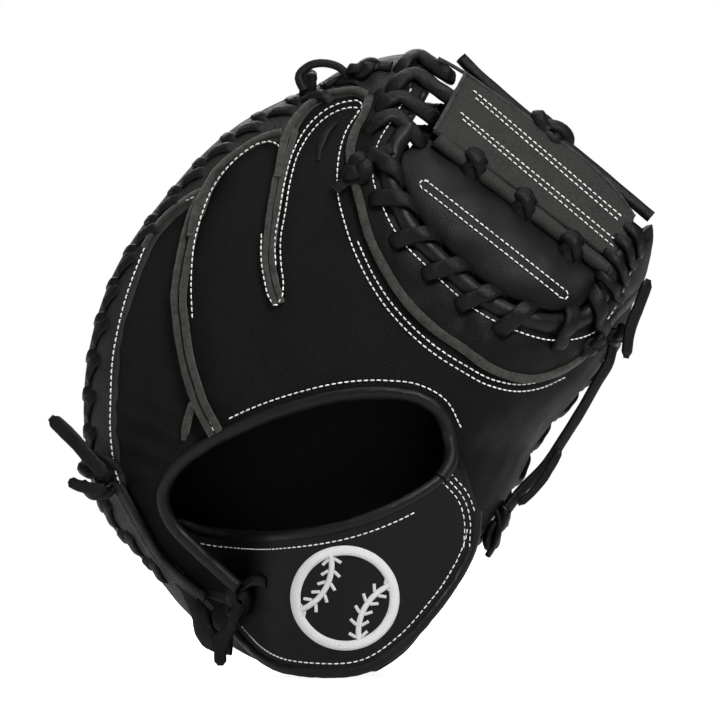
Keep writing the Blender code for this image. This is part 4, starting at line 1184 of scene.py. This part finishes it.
def make_flap_edges():
    bundle = Bundle()
    fold = respaced(FOLD, 60)
    path = over_web(fold, 7.6) + WEB_NORMAL * (0.5 * cloudy(fold[:, 0], 0.0, fold[:, 1], 10.0))[:, None]
    strand(bundle, path, np.tile(WEB_NORMAL, (60, 1)), 7.2, 6.4, sides=18, squareness=0.9)
    bent(bundle.build("web_flap_padded_fold", FLAP_LEATHER))
    bundle = Bundle()
    for line, lift in RAW_EDGES:
        path = over_web(smooth(line, 50), lift)
        strand(bundle, path, np.tile(WEB_NORMAL, (50, 1)), 1.5, 2.2, sides=8)
    bent(bundle.build("web_flap_raw_edges", RAW_EDGE))


def flap_knot(bundle, x, z):
    """Three strands of lace crossed and pulled tight over the flap's fold."""
    centre = np.array([x, web_y(x, z), z]) + WEB_NORMAL * 11.0
    for turn, width, rise, reach in ((0.2, 8.6, 0.0, 7.4), (-0.55, 6.4, 2.4, 5.6), (1.15, 5.4, 1.6, 5.0)):
        along = np.array([math.sin(turn), 0.15, math.cos(turn)])
        ends = [
            centre + along * (share * reach) + WEB_NORMAL * (rise - 5.0 * share**2 - 0.5)
            for share in (-1.15, -0.7, 0, 0.7, 1.15)
        ]
        lace(bundle, ends, WEB_NORMAL, width, 5.0, 1.0, seed=x + turn, squareness=0.8)


def make_web_ties():
    bundle = Bundle()
    for line, seed in zip(WEB_TOP_LACE, (3.0, 4.0)):
        lace(bundle, over_web(smooth(line, 12), 6.0), WEB_NORMAL, 5.6, 4.6, seed=seed)
    x, z = WEB_TOP_KNOT
    centre = np.array([x, web_y(x, z), z]) + WEB_NORMAL * 5.0
    knot(bundle, centre, WEB_NORMAL, (0.75, 0.1, -0.65), (22, 11, 8), 2.0, 6.6, 5.0)
    lace_nodes = ["web_top_lace_finger_half", "web_top_lace_thumb_half"]
    bent(bundle.build("web_top_lace", LACE), lace_nodes)
    for name, x, z in FLAP_KNOTS:
        bundle = Bundle()
        flap_knot(bundle, x, z)
        bent(bundle.build(name, LACE), [name])


def at_depth(points, depth):
    """Points seen from behind, x and z, with a depth for each."""
    return np.stack([points[:, 0], depth, points[:, 1]], -1)


def surface_row(surface, points):
    """The places on a grid surface that a line seen from behind passes over."""
    flat = surface.reshape(-1, 3)
    rows = []
    for x, z in points:
        d = np.hypot(flat[:, 0] - x, flat[:, 2] - z)
        near = np.argpartition(d, 4)[:4]
        weight = 1 / (d[near] + 0.05)
        rows.append((x, float((flat[near, 1] * weight).sum() / weight.sum()), z))
    return np.array(rows)


# ---------------------------------------------------------------- stitching

def add_row_on_back(bundle, points, height, offset=0.0, count=220):
    path, normals = back_path(points, count, height, offset)
    stitches(bundle, path, normals)


PALM_ROWS = (0.60, 0.625)      # shares of the way from the pocket to the rim
BOX_START, BOX_END = (49.6, 235.0), (116.5, 182.2)
BOX_HALF_WIDTH = 2.0
BOX_ALONG = np.array([66.0, -53.0]) / math.hypot(66.0, 53.0)
WEB_STITCH_LINE = [
    (18.8, 269.5), (13.0, 260.5), (9.8, 250), (8.6, 239), (9.2, 228), (11.6, 218), (15.7, 205.1),
    (22.9, 189.5), (31.5, 176.1), (41.1, 165.2), (53.8, 154.3), (66, 146.5), (81, 139), (94, 136.8),
    (105, 138.5), (116, 143.3),
]
ROWS_ON_BACK = [
    [(-56.4, 219), (-59.2, 208.2), (-60.6, 195), (-60.8, 183), (-60.2, 172)],
    [(-64, 165), (-60.8, 150), (-56.4, 136.8), (-50.2, 118.5)],
    [
        (-56.4, 219), (-53.4, 227.5), (-49.6, 235.2), (-43.2, 243.6), (-36, 250.2), (-28.3, 254.6),
        (-22.5, 255.1), (-19.4, 253.2), (-19.6, 246),
    ],
    [
        (-20.6, 197), (-21.0, 208), (-18.9, 221), (-16.5, 235.4), (-12.5, 250), (-7, 260.5), (0, 268.2),
        (8, 273.0), (14, 274.6), (19.5, 274.4), (20.6, 272), (18.8, 269.5),
    ],
    [
        (-27.4, 210), (-27.4, 199), (-25.8, 188.4), (-23.8, 181), (-20.6, 177), (-17.8, 180.5), (-17.0, 187),
        (-18.0, 196), (-18.3, 208), (-16.2, 221), (-13.9, 235.4), (-9.9, 249.5), (-4.4, 259), (2, 265.8),
        (9, 270), (14.5, 271.5), (17.5, 271.5),
    ],
]


def ring_on_palm(s, count):
    """A row round the pocket, with the corners of the mitt's outline eased out of it."""
    path, normals = raised(palm_point, np.linspace(0, 360, count), np.full(count, s), 0.0, 1)
    reach = count // 15
    weights = np.hanning(2 * reach + 1)
    weights /= weights.sum()
    round_again = np.vstack([path[-reach - 1:-1], path, path[1:reach + 1]])
    x, z = (np.convolve(round_again[:, k], weights, "valid") for k in (0, 2))
    return np.column_stack([x, palm_y(x, z), z]) + normals * 0.2, normals


def stitch_back():
    bundle = Bundle()
    add_row_on_back(bundle, WEB_STITCH_LINE, 1.3, 0.0, 300)
    add_row_on_back(bundle, WEB_STITCH_LINE[6:], 1.3, 3.2, 300)
    row = respaced(beside(CROTCH_LINE, -7.2)[18:246], 300)
    stitches(bundle, *back_at(row[:, 0], row[:, 1], 2.7))
    bent(bundle.build("stitches_round_web", THREAD))
    bundle = Bundle()
    for points in ROWS_ON_BACK:
        add_row_on_back(bundle, points, 1.6)
    add_row_on_back(bundle, OPENING[1:8] + [(-39.5, 118.6)], 0.9, -5.6)
    add_row_on_back(bundle, STALL_TOPS[0][:-1], BAND_HEIGHT + 0.9, 1.8, 300)
    parted(bundle.build("stitches_on_back", THREAD))


def long_box():
    """The narrow round-ended box that is sewn down the middle of the half-moon panel."""
    across = np.array([-BOX_ALONG[1], BOX_ALONG[0]])
    turn = np.radians(np.linspace(-90, 90, 9))
    half_circle = BOX_HALF_WIDTH * (np.outer(np.cos(turn), BOX_ALONG) + np.outer(np.sin(turn), across))
    start, end = BOX_START - half_circle, BOX_END + half_circle
    return respaced(np.vstack([start, end, start[:1]]), 160)


def stitch_web(panel, flap):
    bundle = Bundle()
    rows = [(panel, long_box(), 0.7)]
    rows += [(flap, np.linspace(start, end, 40), 0.5) for start, end in FLAP_ROWS]
    for surface, line, lift in rows:
        row = surface_row(surface, line)
        stitches(bundle, row, np.tile(WEB_NORMAL, (len(row), 1)), lift=lift)
    bent(bundle.build("stitches_on_web", THREAD))


def stitch_palm(count=900):
    bundle = Bundle()
    for s in PALM_ROWS:
        path, normals = ring_on_palm(s, count)
        keep = ~inside(path[:, [0, 2]], notch_outline(-9.0)) & (path[:, 2] > 6)
        gaps = np.flatnonzero(np.diff(keep.astype(int)) != 0) + 1
        for run in np.split(np.arange(count), gaps):
            if keep[run[0]] and len(run) > 8:
                stitches(bundle, path[run], normals[run])
    bent(bundle.build("stitches_on_palm", THREAD))


# ---------------------------------------------------------------- knots and loose laces

def over_back(bundle, points, height, seed=0.0, width=6.0, thickness=3.0):
    """A lace laid flat on the back."""
    path, normals = back_path(points, 12 * len(points), height)
    strand(bundle, path, normals, width, thickness, seed=seed)


def around(centre, *offsets):
    return [centre + np.array(offset) for offset in offsets]


def web_lace_knot(bundle):
    centre, n = spot(19.5, 240.5, 4.0)
    knot(bundle, centre, n, (0.7, 0.0, 0.7), (11, 9, 7), 5.0, 7.6, 5.0)
    over_back(bundle, [(8, 231), (14, 236), (20, 241)], 3.0, 1.0)
    over_back(bundle, [(20, 241), (27, 247), (35, 250)], 5.0, 2.0)


def finger_top_knot(bundle):
    centre, n = spot(-4.0, 282.0, 4.5)
    knot(bundle, centre, n, (0.3, 0, 0.9), (12, 9, 6), 7.0, 5.0, 3.6)


def index_top_lace(bundle):
    over_back(bundle, [(4, 281), (14, 287), (25, 290), (35, 290)], 4.0, 3.0, 6.4)
    centre, n = spot(23.0, 287.5, 5.5)
    knot(bundle, centre, n, (1, 0, 0.3), (14, 8, 5), 8.0, 5.4, 3.4)


def finger_top_loop(bundle):
    points = [(-8, 6, 281), (-10.5, 8, 288), (-5, 9, 293.5), (3, 9.5, 294.5), (10, 10, 292), (14, 10, 287)]
    lace(bundle, points, (0, -1, 0.2), 3.8, 3.4, seed=9.0)


def heel_side_lace(bundle):
    for shift, seed in ((0.0, 1.0), (3.6, 2.0)):
        line = [(x + shift, z) for x, z in ((-97, 92), (-92, 83), (-86, 72), (-78, 59), (-66, 47), (-56, 39))]
        over_back(bundle, line, 3.0 + shift * 0.3, seed, 5.0)


def pinky_knot(bundle):
    centre, n = spot(-101.0, 97.5, 5.0)
    knot(bundle, centre, n, (1, 0, -0.3), (17, 12, 8), 11.0, 7.6, 4.0)
    points = around(centre, (-9, 4, 6), (-3, -4, 7), (6, -5, 3), (12, -2, -5), (10, 3, -12))
    lace(bundle, points, n, 7.6, 3.0, seed=12.0)
    points = around(centre, (9, 1, -4), (3, -4, -9), (-4, -3, -10), (-9, 3, -6))
    lace(bundle, points, n, 6.6, 3.0, seed=13.0)


def wrist_knot(bundle):
    centre = np.array([-38.8, -18.6, 36.0])
    knot(bundle, centre, (-0.25, -1, 0), (0.15, 0, 1), (17, 10, 7), 14.0, 6.4, 3.6)
    points = [(-60, -1, 44), (-54.5, -9, 41), (-47, -15.5, 38), (-39.5, -20.5, 36)]
    lace(bundle, points, (-0.3, -1, 0.2), 6.4, 3.0, seed=15.0)
    points = [(-38, -20.5, 42), (-31.5, -27.5, 46), (-25, -35, 45)]
    lace(bundle, points, (-0.85, -0.5, 0), 5.2, 2.4, seed=16.0)
    points = [(-39, -21, 34), (-41.5, -21, 27), (-45, -20, 20), (-51, -16, 16)]
    lace(bundle, points, (-0.3, -1, 0), 6.4, 3.0, seed=17.0)


def thumb_knot(bundle):
    beneath, n = spot(83.0, 76.0, 5.0)
    centre = np.array([85.0, beneath[1], 71.0])
    knot(bundle, centre, n, (0.45, 0, 1), (22, 11, 8), 18.0, 6.2, 4.0)
    points = around(centre, (-2, -3, 11), (2, -4, 2), (0, -4, -8), (-3, 2, -14))
    lace(bundle, points, n, 5.6, 3.0, seed=19.0)


def thumb_tip_knots(bundle):
    for x, z, seed in ((128.5, 160.5, 22.0), (139.5, 165.0, 23.0)):
        centre, n = spot(x, z, 3.4)
        knot(bundle, centre, n, (0.8, 0, 0.6), (10, 7.5, 6), seed, 5.6, 4.4)
    over_back(bundle, [(139.5, 165), (141.5, 158), (140, 152)], 3.0, 24.0, 5.6)


def thumb_loop(bundle):
    points = [
        (141, -2, 158), (138.7, -3, 149.5), (133.3, -5, 140.6), (126.4, -6, 128.4), (117, -7, 113.4),
        (108.4, -9, 100.7), (96, -12, 88), (89.5, -15, 79.5),
    ]
    lace(bundle, points, (0.5, -0.8, -0.4), 5.6, 3.0, seed=20.0)


# Loose ends that swing: the line each hangs along, the way it faces and its width
TAILS = {
    "pinky_tail_upper": (
        [(-103, -4, 96), (-110, -3, 103), (-117, -1, 111), (-124, 1, 118), (-130, 3, 123.5)],
        (0, -1, 0.1), 7.4,
    ),
    "pinky_tail_lower": ([(-103, -2, 89), (-110, -2, 89.5), (-117, 0, 91), (-121, 2, 93)], (0, -1, 0), 5.8),
    "heel_tail": ([(-39, -20, 28), (-44, -22, 21), (-47.4, -22, 13), (-47.6, -21, 5)], (0, -1, 0), 6.4),
    "thumb_tail": (
        [(95, -15.5, 82), (100.5, -14.5, 86.5), (107, -13.5, 94), (112, -12.5, 102), (115.5, -12, 108.5)],
        (0, -1, 0), 4.0,
    ),
    "thumb_tip_tail": ([(158, -6, 190), (154, -7, 179), (149, -8, 166), (147, -8, 152)], (0.5, -0.8, 0), 6.0),
}
# Each knot or lace, the body it rides, and whether the CAD has it too
TIES = [
    (web_lace_knot, "mitt", True), (finger_top_knot, "mitt", True), (index_top_lace, "mitt", True),
    (finger_top_loop, "mitt", True), (heel_side_lace, "mitt", True), (pinky_knot, "mitt", True),
    (wrist_knot, "mitt", False), (thumb_knot, "thumb_side", True), (thumb_tip_knots, "thumb_side", False),
    (thumb_loop, "thumb_side", True),
]


def tied(bundle, name, body, in_cad=True):
    parted(bundle.build(name, LACE), body, [name] if in_cad else [])


def make_ties():
    for add, body, in_cad in TIES:
        bundle = Bundle()
        add(bundle)
        tied(bundle, add.__name__, body, in_cad)
    for name, (points, normal, width) in TAILS.items():
        bundle = Bundle()
        path, normals = smooth(points, 40), np.tile(np.array(normal, float), (40, 1))
        strand(bundle, path, normals, width, 2.6, seed=width, taper=0.08)
        tied(bundle, name, name)


def make_heel_corner():
    bundle = Bundle()
    path = smooth([
        (-66, 2, 46), (-60.5, -2, 37), (-57.0, -5, 28), (-55.5, -6, 21), (-51.5, -8.5, 16.5),
        (-47, -10.5, 14.8), (-42.5, -12, 14.6),
    ], 60)
    strand(bundle, path, np.tile([0.0, -1.0, 0.0], (60, 1)), 10.0, 5.0, sides=16, squareness=0.8, seed=21.0)
    parted(bundle.build("heel_corner_binding", ROLLED_LEATHER))


# ---------------------------------------------------------------- the strap

STRAP_ARCH = [
    (-74, 8), (-66, 8), (-58, 7.5), (-50, 6), (-43, 2), (-36, -6), (-29, -21), (-20, -40), (-8, -53),
    (8, -60), (30, -60), (50, -54), (64, -46), (74, -40),
]
STRAP_TOP = [
    (-69, 74), (-58, 70), (-38.4, 67.7), (-9.6, 69.6), (14.4, 74.4), (38.4, 84), (54, 93.5), (64, 102),
]
STRAP_BOTTOM = [
    (-42, 22), (-34, 14.5), (-21.6, 6.3), (0.5, 2.6), (21.5, 4.6), (41.5, 18.0), (54.5, 33.0), (63.3, 45),
    (69.6, 56), (73.5, 67), (74.3, 79),
]
STRAP_THICKNESS = 2.4
# A line across the strap near its thumb end, which three rows of stitches follow
THUMB_SEAM = [(61.5, 97), (69.3, 87.5), (73, 75), (72.8, 63)]
EMBLEM_CENTRE, EMBLEM_RADIUS = np.array([12.5, 38.8]), 22.5
ARCH_LINE = smooth(STRAP_ARCH, 240)
TOP_LINE, BOTTOM_LINE = smooth(STRAP_TOP, 240), smooth(STRAP_BOTTOM, 240)


def strap_y(x):
    return np.interp(x, ARCH_LINE[:, 0], ARCH_LINE[:, 1])


def on_strap(plan, height=0.0):
    """Points of the strap at places seen from behind, with its normals."""
    x, z = plan[..., 0], plan[..., 1]
    slope = (strap_y(x + 1) - strap_y(x - 1)) / 2
    n = unit(np.stack([slope, -np.ones_like(slope), np.zeros_like(slope)], -1))
    soft = 0.8 * cloudy(x, 0.0, z, 26.0, 7.0) + 0.3 * cloudy(x, 0.0, z, 9.0, 8.0)
    return np.stack([x, strap_y(x), z], -1) + n * (STRAP_THICKNESS + soft + height)[..., None], n


def strap_point(u, v, height=0.0):
    """Points of the strap: u from the wrist lace to the thumb, v from its lower edge to its upper."""
    u, v = np.broadcast_arrays(np.asarray(u, float), np.asarray(v, float))
    steps = np.linspace(0, 1, 240)
    low, high = (
        np.stack([np.interp(u, steps, line[:, k]) for k in (0, 1)], -1) for line in (BOTTOM_LINE, TOP_LINE)
    )
    return on_strap(low * (1 - v[..., None]) + high * v[..., None], height)


def sewn_to_thumb(obj, nodes=()):
    """The strap's right end is sewn to the thumb side: bake the piece's place into its mesh, and stand for
    CAD nodes.
    """
    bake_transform(obj)
    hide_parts(*nodes)


def satin(bundle, uvs, plan, width, height):
    """A raised band of satin stitch along a line on the strap."""
    across = np.linspace(-1, 1, 9)
    along = arc_length(plan)
    rows = []
    for c in across:
        crown = height * math.sqrt(max(0.0, 1 - c * c)) + 0.1
        rows.append(on_strap(beside(plan, c * width / 2), crown)[0])
    points = np.stack(rows, axis=1)
    faces = grid_faces(len(plan), len(across))
    bundle.add(points.reshape(-1, 3), faces.tolist())
    u = along[:, None] + 0.8 * across[None, :]
    uvs.append(np.stack([u, np.broadcast_to(across[None], u.shape)], -1).reshape(-1, 2))


def make_emblem():
    """A ball: a ring with its two curved seams, in satin stitch."""
    bundle, uvs = Bundle(), []
    turn = np.linspace(0, 2 * math.pi, 150)
    ring = EMBLEM_CENTRE + EMBLEM_RADIUS * np.column_stack([np.cos(turn), np.sin(turn)])
    satin(bundle, uvs, ring, 4.6, 1.3)
    tilt = np.radians(-28.0)
    for side in (-1, 1):
        arc = np.radians(np.linspace(-47, 47, 60))
        local = np.column_stack([side * (1.42 - 0.98 * np.cos(arc)), 1.02 * np.sin(arc)]) * EMBLEM_RADIUS
        turned = np.array([[math.cos(tilt), math.sin(tilt)], [-math.sin(tilt), math.cos(tilt)]])
        seam = local @ turned + EMBLEM_CENTRE
        satin(bundle, uvs, seam, 2.6, 1.0)
        step = unit(np.gradient(seam, axis=0))
        for i in range(7, 54, 9):
            for lean in (-1, 1):
                out = np.array([-step[i, 1], step[i, 0]]) * lean
                start = seam[i] + out * 1.2
                satin(bundle, uvs, np.linspace(start, start + out * 3.0 + step[i] * side * 2.4, 6), 1.5, 0.7)
    points = np.vstack(bundle.points)
    obj = add_mesh("strap_ball_emblem", points, bundle.faces, EMBLEM_THREAD, None, np.vstack(uvs))
    sewn_to_thumb(obj, ["strap_emblem"])


def make_gusset():
    """The soft leather that joins the strap's sewn end to the back of the thumb side."""
    count = 60
    edge, _ = strap_point(np.linspace(0.84, 1.0, count), np.full(count, 0.03), -1.2)
    end, _ = strap_point(np.full(count, 1.0), np.linspace(0.05, 0.92, count), -1.2)
    corner = back_at(OPENING_LINE[:1, 0], OPENING_LINE[:1, 1], -1.0)[0]
    front = respaced(np.vstack([edge, end, corner]), count)
    line = smooth([(67.5, 46), (70, 60), (71, 76), (69, 90), (66.5, 101), (62.5, 108.5)], count)
    back = back_at(line[:, 0], line[:, 1], 0.4)[0]
    v = np.linspace(0, 1, 20)[None, :, None]
    points = front[:, None] * (1 - v) + back[:, None] * v
    bulge = 3.0 * np.sin(math.pi * v) + 0.5 * cloudy(*np.moveaxis(points, -1, 0), 12.0)[..., None]
    outward = np.array([1.0, -0.25, 0.0])
    obj = sheet("strap_end_gusset", points + outward * bulge, points + outward * (bulge - 2.0), STRAP_LEATHER)
    sewn_to_thumb(obj)


def make_strap():
    u, v = np.linspace(0, 1, 220)[:, None], np.linspace(0.01, 0.99, 60)[None, :]
    outer, _ = strap_point(u, v)
    inner, _ = strap_point(u, v, -2.0)
    sewn_to_thumb(sheet("strap_leather", outer, inner, STRAP_LEATHER), ["wrist_strap"])
    outer, _ = strap_point(u, v, -2.2)
    inner, _ = strap_point(u, v, -3.4)
    sewn_to_thumb(sheet("strap_inner_lining", outer, inner, LINING), ["strap_lining"])
    bundle = Bundle()
    steps = np.linspace(0.0, 1.0, 200)
    for edge, width, last in ((0.985, 5.6, 0.96), (0.015, 5.4, 1.0)):
        path, normals = strap_point(steps * last, np.full(200, edge), -1.0)
        strand(bundle, path, normals, width, width * 0.86, sides=16, squareness=0.95, seed=edge)
    sewn_to_thumb(bundle.build("strap_bindings", ROLLED_LEATHER))
    bundle = Bundle()
    rows = [beside(TOP_LINE[20:190], -7.0), beside(BOTTOM_LINE[6:226], 5.2)]
    rows += [beside(smooth(THUMB_SEAM, 60), offset) for offset in (0.0, -2.8, -5.6)]
    for row in rows:
        path, normals = on_strap(row, 0.1)
        stitches(bundle, path, normals, width=0.65)
    sewn_to_thumb(bundle.build("strap_stitches", THREAD))


# ---------------------------------------------------------------- the stage

SKY_LIGHT = 0.2
CAMERA_REACH, VIEW_WIDTH = 3.2, 0.3456


LIGHT_AIM = Vector((0.0, 0.0, 0.15))
# Each light's place, size and power
LIGHTS = {
    "key": ((0.75, -1.1, 1.35), 0.6, 25.0),
    "fill": ((-1.2, -1.0, 0.6), 1.2, 4.0),
    "top": ((0.1, 0.1, 1.6), 1.0, 9.0),
    "back": ((0.0, 1.2, 1.0), 1.0, 16.0),
}


def add_to_scene(name, data):
    obj = bpy.data.objects.new(name, data)
    bpy.context.scene.collection.objects.link(obj)
    return obj


def make_sky():
    """A white world that lights the mitt less than the camera sees."""
    world = bpy.data.worlds.new("studio")
    world.use_nodes = True
    nodes, links = world.node_tree.nodes, world.node_tree.links
    background = nodes["Background"]
    background.inputs["Color"].default_value = (1.0, 1.0, 1.0, 1.0)
    seen = nodes.new("ShaderNodeLightPath").outputs["Is Camera Ray"]
    level = nodes.new("ShaderNodeMapRange")
    level.inputs["To Min"].default_value = SKY_LIGHT
    level.inputs["To Max"].default_value = 1.0
    links.new(seen, level.inputs["Value"])
    links.new(level.outputs["Result"], background.inputs["Strength"])
    bpy.context.scene.world = world


def make_floor():
    mesh = bpy.data.meshes.new("floor")
    bm = bmesh.new()
    bmesh.ops.create_circle(bm, cap_ends=True, segments=96, radius=2.5)
    bm.to_mesh(mesh)
    bm.free()
    mesh.materials.append(pale_floor())
    add_to_scene("floor", mesh)


def make_lights():
    for name, (where, size, power) in LIGHTS.items():
        light = bpy.data.lights.new(name, "AREA")
        light.energy, light.size = power, size
        obj = add_to_scene(name, light)
        obj.location = where
        obj.rotation_euler = (LIGHT_AIM - Vector(where)).to_track_quat("-Z", "Y").to_euler()


def make_camera():
    camera = bpy.data.cameras.new("camera")
    camera.lens = 36.0 * CAMERA_REACH / VIEW_WIDTH
    obj = add_to_scene("camera", camera)
    obj.location = (0.0092, -CAMERA_REACH - 0.03, 0.1512)
    obj.rotation_euler = (math.pi / 2, 0.0, 0.0)
    bpy.context.scene.camera = obj
    bpy.context.scene.view_settings.view_transform = "Standard"


make_back()
parted(band("outer_leather_band", 81, 226, band_share, FINGER_WRAPS))
bent(band("thumb_edge_band", -46, 24, edge_band_share, THUMB_WRAPS))
make_border()
make_strips()
make_rolls()
make_web_laces()
make_perimeter()
make_palm()
make_palm_edge()
make_stall_wall()
half_moon, flap = make_web_panels()
make_flap_edges()
make_web_ties()
stitch_back()
stitch_web(half_moon, flap)
stitch_palm()
make_heel_corner()
make_ties()
make_strap()
make_gusset()
make_emblem()
make_sky()
make_floor()
make_lights()
make_camera()
